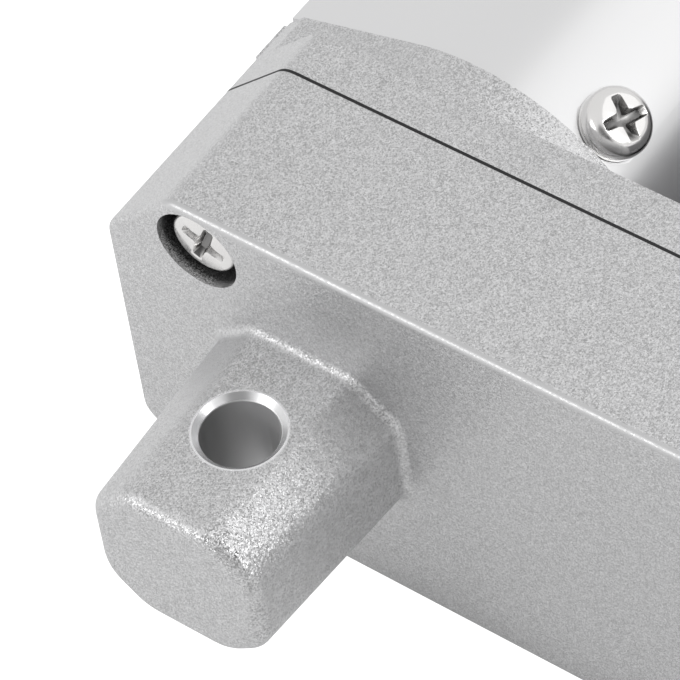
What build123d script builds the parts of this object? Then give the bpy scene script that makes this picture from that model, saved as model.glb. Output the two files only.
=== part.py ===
from build123d import *
import math
import os

# Electric linear actuator. X runs from the rear mounting hole to the rod's eye, Z along that hole.
# The lead screw lies on the X axis and the motor beside it, toward -Y. All sizes in millimetres.

os.makedirs("parts", exist_ok=True)

# Travel and mounting
stroke = 100.0
closed_length = 105.0
mount_hole_d = 6.5
mount_chamfer = 0.55
tongue_thick = 15.3
tongue_root_width = 17.3
tongue_tip_width = 16.0
tongue_reach = 10.0
tongue_cut_y = 3.9
tongue_cut_z = 3.1
tongue_root_blend = 1.6
tongue_tip_blend = 4.4
tongue_end_round = 1.3
tongue_root_round = 0.8

# Gearbox housing
housing_margin = 1.0
corner_cut = 7.0
corner_blend = 2.4
edge_round = 0.55
rear_face_x = 8.6
cover_depth = 15.85
cover_wall = 3.0
side_wall = 2.7
gasket_thick = 0.3
block_thick = 4.25
collar_length = 4.0
collar_step = 0.4
pocket_depth = 0.85

# Housing screws
screw_d = 3.0
head_d = 6.0
head_height = 2.4
head_round = 1.4
sunk_head_round = 0.6
screw_clearance = 0.2
screw_end_wall = 1.2
counterbore_d = 7.7
counterbore_depth = 3.2
counterbore_wall = 1.0
boss_end_gap = 0.5
screw_inset_y = 9.44
screw_inset_z = 4.5
screw_rib_r = 2.3

# Outer tube
tube_r = 18.0
tube_wall = 3.0
tube_facet_deg = 16.5
tube_corner_round = 1.0
channel_half = 7.0
channel_wall = 1.8
spigot_gap = 0.1
spigot_length = 10.0
tube_screw_from_end = 3.3
tube_screw_deg = 38.0
tube_screw_tip_gap = 0.75
spot_depth = 0.25
spot_d = 6.4

# Gears
pressure_deg = 25.0
addendum = 0.95
dedendum = 1.2
tooth_thinning = 0.06
output_teeth = 27
idler_small_teeth = 15
output_module = 1.0
idler_large_teeth = 35
pinion_teeth = 10
input_module = 0.8
gear_gap = 0.7
input_width = 4.0
pinion_overhang = 0.15
pinion_end_gap = 0.4
gear_room = 1.54
idler_pin_d = 5.0
idler_running_gap = 0.05
idler_boss_r = 4.6
washer_thick = 0.5
washer_r = 4.4
pin_depth = 2.0
idler_end_gap = 0.1

# Lead screw and its bearings
screw_major_d = 12.0
shaft_d = 10.0
journal_d = 8.0
journal_play = 0.04
shaft_gap = 0.3
bush_length = 5.0
bush_wall = 2.0
journal_end_gap = 0.4
ring_thick = 1.0
ring_groove_depth = 0.4
ring_groove_play = 0.1
ring_height = 2.0
ring_opening = 4.0
key_width = 3.0
key_end_gap = 0.4
key_sunk = 1.8
key_clearance = 0.1
spacer_wall = 0.6
bearing_od = 22.0
bearing_width = 6.0
bearing_lip = 1.0
lip_height = 1.5
ball_share = 0.533
ball_count = 9
ball_gap = 0.06
inner_shoulder = 0.344
outer_shoulder = 0.375
cage_width = 4.0
cage_half = 0.5
internal_ring_height = 2.3
internal_ring_groove = 0.5
screw_overrun = 5.0

# Nut, rod and eye
nut_gap = 4.0
nut_length = 20.0
nut_gap_to_tube = 1.5
nut_play = 0.05
switch_gap = 0.6
guide_length = 6.0
guide_offset = 3.0
guide_depth = 0.9
guide_play = 0.1
rod_r = 10.0
rod_bore_r = 7.0
rod_socket = 10.0
eye_tip = 10.0
eye_shoulder = 8.0
eye_plug = 12.0
eye_thick = 15.3
eye_flat_start = 1.5
eye_round = 3.0
eye_pin_d = 4.0
eye_pin_inset = 6.0

# Front cap
cap_setback = 25.0
cap_flange = 8.0
cap_spigot = 12.0
cap_bush_wall = 2.0
bush_play = 0.05
bush_into_flange = 2.0
wiper_width = 4.5
wiper_wall = 3.5
wiper_gap = 1.0
cap_lip_gap = 0.4
cap_edge = 1.0
cap_screw_inset = 5.0

# Limit switches
board_thick = 1.2
board_half = 6.5
board_gap = 2.0
switch_length = 6.0
switch_half = 3.0
switch_height = 2.1

# Motor
can_space = 2.5
can_wall = 1.0
can_length = 50.0
can_front = 1.2
can_seat_gap = 0.1
boss_r = 5.0
boss_length = 2.6
boss_play = 0.05
motor_shaft_d = 3.17
motor_shaft_play = 0.03
front_bush_r = 3.5
front_bush_length = 5.0
front_bush_inset = 0.3
motor_screw_z = 8.5
motor_screw_length = 5.0
magnet_thick = 2.2
magnet_start = 7.0
magnet_end_inset = 13.0
magnet_half_deg = 65.0
air_gap = 0.5
core_start = 11.0
core_end_inset = 17.0
slot_count = 5
slot_half = 1.6
slot_floor_r = 4.6
slot_top_gap = 0.8
coil_gap = 0.3
coil_length = 4.2
coil_inner_r = 3.2
coil_step = 0.9
commutator_inset = 11.5
commutator_length = 8.0
commutator_r = 4.5
brush_gap = 0.05
brush_reach = 5.0
brush_x_half = 1.8
brush_y_half = 1.2
bell_flange = 3.0
bell_spigot = 4.0
bell_ring_wall = 1.5
bell_boss_r = 4.6
bell_boss_length = 2.4
tower_half = 3.0
tower_reach = 10.0
tower_inner_r = 5.4
tower_gap = 2.0
rear_bush_r = 3.0
rear_bush_length = 4.4
shaft_tail = 2.0
terminal_y = 9.0
terminal_half = 1.4
terminal_thick = 0.5
terminal_out = 6.0
terminal_in = 2.0

# Motor cover and end cap
cover_r = 18.0
cover_tube_wall = 1.5
cover_length = 67.0
cover_spigot_length = 8.0
cover_screw_deg = 50.0
cover_screw_length = 3.25
end_flange = 5.0
end_spigot = 10.0
end_wall = 2.0
end_floor = 2.8
end_edge = 1.2
seal_inset = 2.5
seal_width = 1.9
seal_height = 1.3
seal_groove_play = 0.1
seal_round = 0.55
end_screw_inset = 3.2
end_screw_length = 3.25
grommet_r = 4.0
grommet_bore_r = 2.6
grommet_flange_r = 5.6
grommet_out = 2.0
grommet_in = 1.5
grommet_drop = 8.0

# Radii and gears worked out from the sizes above
tube_bore_r = tube_r - tube_wall
cover_bore_r = cover_r - cover_tube_wall
can_r = cover_bore_r - can_space
collar_r = tube_r + collar_step
output_tip_r = (output_teeth / 2 + addendum) * output_module
idler_tip_r = (idler_large_teeth / 2 + addendum) * input_module
idler_y = -(output_teeth + idler_small_teeth) * output_module / 2
motor_y = idler_y - (idler_large_teeth + pinion_teeth) * input_module / 2
gear_half = max(output_tip_r, idler_tip_r) + gear_room + side_wall
half = max(tube_r + housing_margin, cover_r + housing_margin, gear_half)
housing_right = motor_y - half
inner_half = half - side_wall
inner_cut = corner_cut - side_wall * (2 - math.sqrt(2))
shaft_r = shaft_d / 2
journal_r = journal_d / 2
lead_r = screw_major_d / 2
bearing_r = bearing_od / 2
ball_pitch_r = (shaft_r + bearing_r) / 2
ball_d = (bearing_r - shaft_r) * ball_share
inner_ring_r = ball_pitch_r - inner_shoulder * ball_d
outer_ring_r = ball_pitch_r + outer_shoulder * ball_d
motor_shaft_r = motor_shaft_d / 2
screw_r = screw_d / 2
mount_r = mount_hole_d / 2
channel_y = tube_r - channel_wall
nut_r = tube_bore_r - nut_gap_to_tube
nut_flat_y = channel_y - board_thick - switch_height - switch_gap
magnet_r = can_r - can_wall
core_r = magnet_r - magnet_thick - air_gap
coil_outer_r = core_r - coil_step
tower_outer_r = magnet_r - tower_gap

# Stations along X
cavity_x = rear_face_x + cover_wall
split_x = rear_face_x + cover_depth
front_rear_x = split_x + gasket_thick
block_front_x = front_rear_x + block_thick
collar_front_x = block_front_x + collar_length
pocket_x = front_rear_x + pocket_depth
bearing_x = pocket_x + bearing_lip
bearing_front_x = bearing_x + bearing_width
spigot_front_x = collar_front_x + spigot_length
screw_seat_x = rear_face_x + counterbore_depth
screw_tip_x = block_front_x - screw_end_wall
ring_x = cavity_x + shaft_gap + 0.6
gear_x = ring_x + ring_thick
idler_x = ring_x + washer_thick + idler_end_gap
idler_front_x = pocket_x - washer_thick - idler_end_gap
input_x = idler_front_x - input_width
gear_front_x = input_x - gear_gap
eye_x = stroke + closed_length
tube_front_x = eye_x - cap_setback
cap_rear_x = tube_front_x - cap_spigot
cap_front_x = tube_front_x + cap_flange
nut_x = spigot_front_x + nut_gap
nut_front_x = nut_x + nut_length
screw_front_x = nut_front_x + stroke + screw_overrun
can_x = block_front_x
can_rear_x = can_x + can_length
cover_front_x = collar_front_x + cover_length
end_front_x = cover_front_x + end_flange
end_rear_x = cover_front_x - end_spigot
core_length = can_length - core_start - core_end_inset
magnet_length = can_length - magnet_start - magnet_end_inset
commutator_x = can_rear_x - commutator_inset
cap_bush_r = rod_r + bush_play + cap_bush_wall
seat_r = tube_r - spot_depth
tube_rear_screw_length = seat_r - bearing_r - tube_screw_tip_gap
tube_front_screw_length = seat_r - cap_bush_r - tube_screw_tip_gap

# Screw places
screw_points = [
    (half - screw_inset_y, half - screw_inset_z),
    (half - screw_inset_y, screw_inset_z - half),
    (housing_right + screw_inset_y, half - screw_inset_z),
    (housing_right + screw_inset_y, screw_inset_z - half),
]
tube_screw_angles = [tube_screw_deg, 180 - tube_screw_deg, 270]
cover_screw_angles = [cover_screw_deg, 180 - cover_screw_deg]


def octagon(top, cut, left, right):
    """Corners of the gearbox outline, as seen along X."""
    return [
        (left, top - cut),
        (left - cut, top),
        (right + cut, top),
        (right, top - cut),
        (right, cut - top),
        (right + cut, -top),
        (left - cut, -top),
        (left, cut - top),
    ]


def squared_side(radius):
    """Corners that square off the left of a circle, between two of its tangents."""
    lean = math.radians(tube_facet_deg)
    touch_y = radius * math.sin(lean)
    touch_z = radius * math.cos(lean)
    corner_z = (radius - radius * math.sin(lean)) / math.cos(lean)
    return [(touch_y, touch_z), (radius, corner_z), (radius, -corner_z), (touch_y, -touch_z), (0, 0)]


def radial_plane(x, radius, angle, y=0.0):
    """A plane that faces outward at a distance from an axis along X. Angle 0 is +Z, 90 is -Y."""
    turn = math.radians(angle)
    out = Vector(0, -math.sin(turn), math.cos(turn))
    return Plane(origin=Vector(x, y, 0) + out * radius, x_dir=(1, 0, 0), z_dir=out)


def tooth(teeth, module):
    """Corners of one involute tooth that points along the first axis of its sketch."""
    pitch_r = teeth * module / 2
    pressure = math.radians(pressure_deg)
    base_r = pitch_r * math.cos(pressure)
    root_r = pitch_r - dedendum * module
    tip_r = pitch_r + addendum * module
    at_pitch = math.pi / (2 * teeth) - tooth_thinning / (2 * pitch_r)
    at_base = at_pitch + math.tan(pressure) - pressure
    low = max(base_r, root_r)
    radii = [root_r - 0.15, low] + [low + (tip_r - low) * n / 3 for n in (1, 2, 3)]
    flank = []
    for radius in radii:
        roll = math.acos(min(1.0, base_r / radius))
        flank.append((radius, at_base - (math.tan(roll) - roll)))
    lower = [(r * math.cos(a), -r * math.sin(a)) for r, a in flank]
    upper = [(r * math.cos(a), r * math.sin(a)) for r, a in reversed(flank)]
    return lower + upper


def tongue_section(width):
    """Corners of the mounting tongue, as seen along X."""
    side = width / 2
    top = tongue_thick / 2
    return [
        (side, top - tongue_cut_z),
        (side - tongue_cut_y, top),
        (tongue_cut_y - side, top),
        (-side, top - tongue_cut_z),
        (-side, tongue_cut_z - top),
        (tongue_cut_y - side, -top),
        (side - tongue_cut_y, -top),
        (side, tongue_cut_z - top),
    ]


# Rear cover with the mounting tongue
with BuildPart() as rear_cover:
    with BuildSketch(Plane.YZ.offset(rear_face_x)):
        Polygon(*octagon(half, corner_cut, half, housing_right), align=None)
        fillet(vertices(), corner_blend)
    extrude(amount=cover_depth)
    fillet(faces().sort_by(Axis.X)[0].edges(), edge_round)
    with BuildSketch(Plane.YZ.offset(rear_face_x)):
        Polygon(*tongue_section(tongue_root_width), align=None)
        fillet(vertices(), tongue_root_blend)
    with BuildSketch(Plane.YZ.offset(-tongue_reach)):
        Polygon(*tongue_section(tongue_tip_width), align=None)
        fillet(vertices(), tongue_tip_blend)
    loft(ruled=True)
    fillet(faces().sort_by(Axis.X)[0].edges(), tongue_end_round)
    root_edges = edges().filter_by_position(Axis.X, rear_face_x - 0.01, rear_face_x + 0.01)
    root_edges = root_edges.filter_by_position(Axis.Z, -tongue_thick, tongue_thick)
    root_edges = root_edges.filter_by_position(Axis.Y, -tongue_root_width, tongue_root_width)
    fillet(root_edges.filter_by(lambda e: abs(e.center().Z) < half - corner_cut), tongue_root_round)
    with BuildSketch(Plane.XY.offset(-tongue_thick)):
        Circle(mount_r)
    extrude(amount=2 * tongue_thick, mode=Mode.SUBTRACT)
    for side in (1, -1):
        mouth_plane = Plane(origin=(0, 0, side * tongue_thick / 2), x_dir=(1, 0, 0), z_dir=(0, 0, side))
        with BuildSketch(mouth_plane.offset(-mount_chamfer)):
            Circle(mount_r)
        with BuildSketch(mouth_plane.offset(0.5)):
            Circle(mount_r + mount_chamfer + 0.5)
        loft(mode=Mode.SUBTRACT)
    with BuildSketch(Plane.YZ.offset(cavity_x)):
        Polygon(*octagon(inner_half, inner_cut, inner_half, motor_y - inner_half), align=None)
        with Locations(*screw_points):
            Circle(screw_rib_r, mode=Mode.SUBTRACT)
    extrude(amount=cover_depth, mode=Mode.SUBTRACT)
    with BuildSketch(Plane.YZ.offset(rear_face_x + cover_wall / 2)):
        with Locations(*screw_points):
            Circle(counterbore_d / 2 + counterbore_wall)
        Polygon(
            *octagon(inner_half + 1, inner_cut, inner_half + 1, motor_y - inner_half - 1),
            align=None,
            mode=Mode.INTERSECT,
        )
    extrude(amount=gear_x - boss_end_gap - rear_face_x - cover_wall / 2)
    with BuildSketch(Plane.YZ.offset(rear_face_x + cover_wall / 2)):
        with Locations((idler_y, 0)):
            Circle(idler_boss_r)
    extrude(amount=ring_x - rear_face_x - cover_wall / 2)
    with BuildSketch(Plane.YZ.offset(cavity_x)):
        Circle(journal_r + bush_wall)
    extrude(amount=-bush_length, mode=Mode.SUBTRACT)
    with BuildSketch(Plane.YZ.offset(cavity_x - pin_depth)):
        with Locations((idler_y, 0)):
            Circle(idler_pin_d / 2)
    extrude(amount=cover_depth, mode=Mode.SUBTRACT)
    with BuildSketch(Plane.YZ.offset(rear_face_x)):
        with Locations(*screw_points):
            Circle(counterbore_d / 2)
    extrude(amount=counterbore_depth, mode=Mode.SUBTRACT)
    with BuildSketch(Plane.YZ.offset(rear_face_x)):
        with Locations(*screw_points):
            Circle(screw_r + screw_clearance)
    extrude(amount=cover_depth, mode=Mode.SUBTRACT)

# Gasket in the parting line
with BuildPart() as housing_gasket:
    with BuildSketch(Plane.YZ.offset(split_x)):
        Polygon(*octagon(half, corner_cut, half, housing_right), align=None)
        fillet(vertices(), corner_blend)
        Polygon(
            *octagon(inner_half, inner_cut, inner_half, motor_y - inner_half),
            align=None,
            mode=Mode.SUBTRACT,
        )
        with Locations(*screw_points):
            Circle(screw_rib_r)
        with Locations(*screw_points):
            Circle(screw_r + screw_clearance, mode=Mode.SUBTRACT)
    extrude(amount=gasket_thick)

# Front housing with the collars and spigots for both tubes
with BuildPart() as front_housing:
    with BuildSketch(Plane.YZ.offset(front_rear_x)):
        Polygon(*octagon(half, corner_cut, half, housing_right), align=None)
        fillet(vertices(), corner_blend)
    extrude(amount=block_thick)
    with BuildSketch(Plane.YZ.offset(block_front_x)):
        Polygon(*squared_side(collar_r), align=None)
        Polygon(
            (0, half - corner_cut),
            (half, half - corner_cut),
            (half, corner_cut - half),
            (0, corner_cut - half),
            align=None,
        )
        Circle(collar_r)
        collar_cut = 2 * half - corner_cut
        Polygon(
            (half + 2, collar_cut - half - 2),
            (half - corner_cut, half),
            (half + 2, half),
            align=None,
            mode=Mode.SUBTRACT,
        )
        Polygon(
            (half + 2, half + 2 - collar_cut),
            (half - corner_cut, -half),
            (half + 2, -half),
            align=None,
            mode=Mode.SUBTRACT,
        )
    extrude(amount=collar_length)
    with BuildSketch(Plane.YZ.offset(block_front_x)):
        with Locations((motor_y, 0)):
            Circle(cover_r + collar_step)
    extrude(amount=collar_length)
    with BuildSketch(Plane.YZ.offset(collar_front_x)):
        Circle(tube_bore_r - spigot_gap)
        with Locations(((channel_y - spigot_gap) / 2, 0)):
            Rectangle(channel_y - spigot_gap, 2 * (channel_half - spigot_gap))
    extrude(amount=spigot_length)
    with BuildSketch(Plane.YZ.offset(collar_front_x)):
        with Locations((motor_y, 0)):
            Circle(cover_bore_r - spigot_gap)
    extrude(amount=cover_spigot_length)
    with BuildSketch(Plane.YZ.offset(front_rear_x)):
        Polygon(*octagon(inner_half, inner_cut, inner_half, motor_y - inner_half), align=None)
        with Locations(*screw_points):
            Circle(screw_rib_r, mode=Mode.SUBTRACT)
    extrude(amount=pocket_depth, mode=Mode.SUBTRACT)
    with BuildSketch(Plane.YZ.offset(pocket_x)):
        Circle(bearing_r - lip_height)
    extrude(amount=bearing_lip, mode=Mode.SUBTRACT)
    with BuildSketch(Plane.YZ.offset(bearing_x)):
        Circle(bearing_r)
    extrude(amount=spigot_front_x - bearing_x, mode=Mode.SUBTRACT)
    with BuildSketch(Plane.YZ.offset(bearing_front_x)):
        Circle(bearing_r + internal_ring_groove)
    extrude(amount=ring_thick, mode=Mode.SUBTRACT)
    with BuildSketch(Plane.YZ.offset(pocket_x)):
        with Locations((motor_y, 0)):
            Circle(boss_r + boss_play)
        with Locations((motor_y, motor_screw_z), (motor_y, -motor_screw_z)):
            Circle(screw_r + screw_clearance)
    extrude(amount=block_front_x - pocket_x, mode=Mode.SUBTRACT)
    with BuildSketch(Plane.YZ.offset(block_front_x)):
        with Locations((motor_y, 0)):
            Circle(can_r + can_seat_gap)
    extrude(amount=collar_length + cover_spigot_length, mode=Mode.SUBTRACT)
    with BuildSketch(Plane.YZ.offset(front_rear_x)):
        with Locations(*screw_points):
            Circle(screw_r)
    extrude(amount=screw_tip_x + 0.4 - front_rear_x, mode=Mode.SUBTRACT)
    with BuildSketch(Plane.YZ.offset(front_rear_x)):
        with Locations((idler_y, 0)):
            Circle(idler_pin_d / 2)
    extrude(amount=pocket_depth + pin_depth, mode=Mode.SUBTRACT)
    for angle in tube_screw_angles:
        with BuildSketch(radial_plane(collar_front_x + tube_screw_from_end, tube_bore_r + 2, angle)):
            Circle(screw_r)
        extrude(amount=-(tube_bore_r + 2 - bearing_r - 0.2), mode=Mode.SUBTRACT)
    for angle in cover_screw_angles:
        with BuildSketch(radial_plane(collar_front_x + tube_screw_from_end, cover_r, angle, motor_y)):
            Circle(screw_r)
        extrude(amount=-(cover_r - can_r), mode=Mode.SUBTRACT)

# Outer tube
with BuildPart() as outer_tube:
    with BuildSketch(Plane.YZ.offset(collar_front_x)):
        Circle(tube_r)
        Polygon(*squared_side(tube_r), align=None)
        fillet(vertices().group_by(Axis.Y)[-1], tube_corner_round)
        Circle(tube_bore_r, mode=Mode.SUBTRACT)
        with Locations((channel_y / 2, 0)):
            Rectangle(channel_y, 2 * channel_half, mode=Mode.SUBTRACT)
    extrude(amount=tube_front_x - collar_front_x)
    for station in (collar_front_x + tube_screw_from_end, tube_front_x - cap_screw_inset):
        for angle in tube_screw_angles:
            with BuildSketch(radial_plane(station, tube_r - spot_depth, angle)):
                Circle(spot_d / 2)
            extrude(amount=1, mode=Mode.SUBTRACT)
            with BuildSketch(radial_plane(station, tube_r, angle)):
                Circle(screw_r + screw_clearance)
            extrude(amount=-(tube_r - tube_bore_r + 1), mode=Mode.SUBTRACT)

# Motor cover tube
with BuildPart() as motor_cover:
    with BuildSketch(Plane.YZ.offset(collar_front_x)):
        with Locations((motor_y, 0)):
            Circle(cover_r)
            Circle(cover_bore_r, mode=Mode.SUBTRACT)
    extrude(amount=cover_length)
    for station in (collar_front_x + tube_screw_from_end, cover_front_x - end_screw_inset):
        for angle in cover_screw_angles:
            with BuildSketch(radial_plane(station, cover_r - spot_depth, angle, motor_y)):
                Circle(spot_d / 2)
            extrude(amount=1, mode=Mode.SUBTRACT)
            with BuildSketch(radial_plane(station, cover_r, angle, motor_y)):
                Circle(screw_r + screw_clearance)
            extrude(amount=-2 * cover_tube_wall, mode=Mode.SUBTRACT)


def crown_edges(seats):
    """The outer rims of the screw heads' tops."""
    tops = [seat.origin + seat.z_dir * head_height for seat in seats]
    rims = edges().filter_by(GeomType.CIRCLE)
    return rims.filter_by(lambda e: any((e.arc_center - top).length < 0.01 for top in tops))


def pan_screws(seats, length, crown=head_round):
    """Pan-head screws, one on each plane, with the heads in front of it and the shanks behind."""
    with BuildPart() as made:
        for seat in seats:
            with BuildSketch(seat):
                Circle(head_d / 2)
            extrude(amount=head_height)
        fillet(crown_edges(seats), crown)
        for seat in seats:
            with BuildSketch(seat):
                Circle(screw_r)
            extrude(amount=-length)
    return made


rearward = {"x_dir": (0, 1, 0), "z_dir": (-1, 0, 0)}
housing_seats = [
    Plane(origin=(screw_seat_x, y, z), **rearward) for y, z in screw_points
]
housing_screws = pan_screws(housing_seats, screw_tip_x - screw_seat_x, sunk_head_round)
tube_rear_seats = [
    radial_plane(collar_front_x + tube_screw_from_end, seat_r, a) for a in tube_screw_angles
]
tube_rear_screws = pan_screws(tube_rear_seats, tube_rear_screw_length)
tube_front_seats = [
    radial_plane(tube_front_x - cap_screw_inset, seat_r, a) for a in tube_screw_angles
]
tube_front_screws = pan_screws(tube_front_seats, tube_front_screw_length)
cover_seats = [
    radial_plane(collar_front_x + tube_screw_from_end, cover_r - spot_depth, a, motor_y)
    for a in cover_screw_angles
]
motor_cover_screws = pan_screws(cover_seats, cover_screw_length)
end_seats = [
    radial_plane(cover_front_x - end_screw_inset, cover_r - spot_depth, a, motor_y)
    for a in cover_screw_angles
]
end_cap_screws = pan_screws(end_seats, end_screw_length)
motor_seats = [
    Plane(origin=(pocket_x, motor_y, side * motor_screw_z), **rearward) for side in (1, -1)
]
motor_screws = pan_screws(motor_seats, motor_screw_length)

# Sintered bush behind the lead screw
with BuildPart() as rear_bush:
    with BuildSketch(Plane.YZ.offset(cavity_x)):
        Circle(journal_r + bush_wall)
        Circle(journal_r + journal_play, mode=Mode.SUBTRACT)
    extrude(amount=-bush_length)

# Ball bearing, profiles turned about the screw's axis
bearing_mid_x = bearing_x + bearing_width / 2
groove_r = ball_d / 2 + ball_gap
with BuildPart() as bearing_outer_ring:
    with BuildSketch(Plane.XY):
        with Locations((bearing_mid_x, (outer_ring_r + bearing_r) / 2)):
            Rectangle(bearing_width, bearing_r - outer_ring_r)
        with Locations((bearing_mid_x, ball_pitch_r)):
            Circle(groove_r, mode=Mode.SUBTRACT)
    revolve(axis=Axis.X)

with BuildPart() as bearing_inner_ring:
    with BuildSketch(Plane.XY):
        with Locations((bearing_mid_x, (shaft_r + inner_ring_r) / 2)):
            Rectangle(bearing_width, inner_ring_r - shaft_r)
        with Locations((bearing_mid_x, ball_pitch_r)):
            Circle(groove_r, mode=Mode.SUBTRACT)
    revolve(axis=Axis.X)

with BuildPart() as bearing_balls:
    for number in range(ball_count):
        with Locations(radial_plane(bearing_mid_x, ball_pitch_r, 360 * number / ball_count)):
            Sphere(ball_d / 2)

with BuildPart() as bearing_cage:
    with BuildSketch(Plane.YZ.offset(bearing_mid_x - cage_width / 2)):
        Circle(ball_pitch_r + cage_half)
        Circle(ball_pitch_r - cage_half, mode=Mode.SUBTRACT)
    extrude(amount=cage_width)
    for number in range(ball_count):
        with BuildSketch(radial_plane(bearing_mid_x, 0, 360 * number / ball_count)):
            Circle(ball_d / 2 + ball_gap)
        extrude(amount=bearing_r, mode=Mode.SUBTRACT)

# Retaining rings
with BuildPart() as bearing_circlip:
    with BuildSketch(Plane.YZ.offset(bearing_front_x)):
        Circle(bearing_r + internal_ring_groove)
        Circle(bearing_r + internal_ring_groove - internal_ring_height, mode=Mode.SUBTRACT)
        with Locations((0, bearing_r)):
            Rectangle(ring_opening, 2 * internal_ring_height + 2, mode=Mode.SUBTRACT)
    extrude(amount=ring_thick)

with BuildPart() as gear_circlip:
    with BuildSketch(Plane.YZ.offset(ring_x)):
        Circle(shaft_r - ring_groove_depth + ring_height)
        Circle(shaft_r - ring_groove_depth, mode=Mode.SUBTRACT)
        with Locations((0, shaft_r)):
            Rectangle(ring_opening, 2 * ring_height + 2, mode=Mode.SUBTRACT)
    extrude(amount=ring_thick)

# Lead screw
journal_x = cavity_x - bush_length + journal_end_gap
with BuildPart() as lead_screw:
    with BuildSketch(Plane.YZ.offset(journal_x)):
        Circle(journal_r)
    extrude(amount=screw_front_x - journal_x)
    with BuildSketch(Plane.YZ.offset(cavity_x + shaft_gap)):
        Circle(shaft_r)
    extrude(amount=bearing_front_x - cavity_x - shaft_gap)
    with BuildSketch(Plane.YZ.offset(bearing_front_x)):
        Circle(lead_r)
    extrude(amount=screw_front_x - bearing_front_x)
    chamfer(faces().sort_by(Axis.X)[-1].edges(), 0.8)
    with BuildSketch(Plane.YZ.offset(ring_x - ring_groove_play)):
        Circle(shaft_r + 1)
        Circle(shaft_r - ring_groove_depth, mode=Mode.SUBTRACT)
    extrude(amount=ring_thick + ring_groove_play, mode=Mode.SUBTRACT)
    with BuildSketch(Plane.YZ.offset(gear_x + key_end_gap)):
        with Locations((0, shaft_r - key_sunk + key_width / 2)):
            Rectangle(key_width, key_width)
    extrude(amount=gear_front_x - gear_x - 2 * key_end_gap, mode=Mode.SUBTRACT)

with BuildPart() as gear_key:
    with BuildSketch(Plane.YZ.offset(gear_x + key_end_gap)):
        with Locations((0, shaft_r - key_sunk + key_width / 2)):
            Rectangle(key_width, key_width)
    extrude(amount=gear_front_x - gear_x - 2 * key_end_gap)

with BuildPart() as gear_spacer:
    with BuildSketch(Plane.YZ.offset(gear_front_x)):
        Circle(shaft_r + spacer_wall)
        Circle(shaft_r, mode=Mode.SUBTRACT)
    extrude(amount=bearing_x - gear_front_x)

# Output gear on the lead screw, one tooth repeated round the root circle
with BuildPart() as output_gear:
    with BuildSketch(Plane.YZ.offset(gear_x)):
        Circle(output_teeth * output_module / 2 - dedendum * output_module)
        with PolarLocations(0, output_teeth, start_angle=180):
            Polygon(*tooth(output_teeth, output_module), align=None)
        Circle(shaft_r, mode=Mode.SUBTRACT)
        with Locations((0, (shaft_r - key_sunk + key_width + key_clearance) / 2)):
            Rectangle(key_width, shaft_r - key_sunk + key_width + key_clearance, mode=Mode.SUBTRACT)
    extrude(amount=gear_front_x - gear_x)

# Idler: a small gear and a large gear in one piece, on a fixed pin
with BuildPart() as idler_gear:
    with BuildSketch(Plane.YZ.offset(idler_x)):
        with Locations((idler_y, 0)):
            Circle(idler_small_teeth * output_module / 2 - dedendum * output_module)
            with PolarLocations(0, idler_small_teeth, start_angle=180 / idler_small_teeth):
                Polygon(*tooth(idler_small_teeth, output_module), align=None)
    extrude(amount=input_x - idler_x)
    with BuildSketch(Plane.YZ.offset(input_x)):
        with Locations((idler_y, 0)):
            Circle(idler_large_teeth * input_module / 2 - dedendum * input_module)
            with PolarLocations(0, idler_large_teeth, start_angle=180):
                Polygon(*tooth(idler_large_teeth, input_module), align=None)
    extrude(amount=input_width)
    with BuildSketch(Plane.YZ.offset(idler_x)):
        with Locations((idler_y, 0)):
            Circle(idler_pin_d / 2 + idler_running_gap)
    extrude(amount=pocket_x, mode=Mode.SUBTRACT)

with BuildPart() as idler_pin:
    with BuildSketch(Plane.YZ.offset(cavity_x - pin_depth)):
        with Locations((idler_y, 0)):
            Circle(idler_pin_d / 2)
    extrude(amount=pocket_x + pin_depth - cavity_x + pin_depth)

with BuildPart() as idler_washers:
    for station in (ring_x, pocket_x - washer_thick):
        with BuildSketch(Plane.YZ.offset(station)):
            with Locations((idler_y, 0)):
                Circle(washer_r)
                Circle(idler_pin_d / 2, mode=Mode.SUBTRACT)
        extrude(amount=washer_thick)

# Motor pinion, with a tooth gap toward the idler
with BuildPart() as motor_pinion:
    with BuildSketch(Plane.YZ.offset(input_x - pinion_overhang)):
        with Locations((motor_y, 0)):
            Circle(pinion_teeth * input_module / 2 - dedendum * input_module)
            with PolarLocations(0, pinion_teeth, start_angle=180 / pinion_teeth):
                Polygon(*tooth(pinion_teeth, input_module), align=None)
            Circle(motor_shaft_r, mode=Mode.SUBTRACT)
    extrude(amount=pocket_x - pinion_end_gap - input_x + pinion_overhang)

# Drive nut and its guide ring, both with a flat that clears the limit switches
with BuildPart() as drive_nut:
    with BuildSketch(Plane.YZ.offset(nut_x)):
        Circle(nut_r)
        with Locations((nut_flat_y + nut_r, 0)):
            Rectangle(2 * nut_r, 2 * nut_r, mode=Mode.SUBTRACT)
    extrude(amount=nut_length)
    with BuildSketch(Plane.YZ.offset(nut_x + guide_offset)):
        Circle(nut_r + 1)
        Circle(nut_r - guide_depth, mode=Mode.SUBTRACT)
    extrude(amount=guide_length, mode=Mode.SUBTRACT)
    with BuildSketch(Plane.YZ.offset(nut_x)):
        Circle(lead_r + nut_play)
    extrude(amount=nut_length, mode=Mode.SUBTRACT)
    with BuildSketch(Plane.YZ.offset(nut_front_x - rod_socket)):
        Circle(rod_r)
    extrude(amount=rod_socket, mode=Mode.SUBTRACT)

with BuildPart() as nut_guide_ring:
    with BuildSketch(Plane.YZ.offset(nut_x + guide_offset)):
        Circle(tube_bore_r - guide_play)
        with Locations((nut_flat_y + nut_r, 0)):
            Rectangle(2 * nut_r, 3 * nut_r, mode=Mode.SUBTRACT)
        Circle(nut_r - guide_depth, mode=Mode.SUBTRACT)
    extrude(amount=guide_length)

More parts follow.
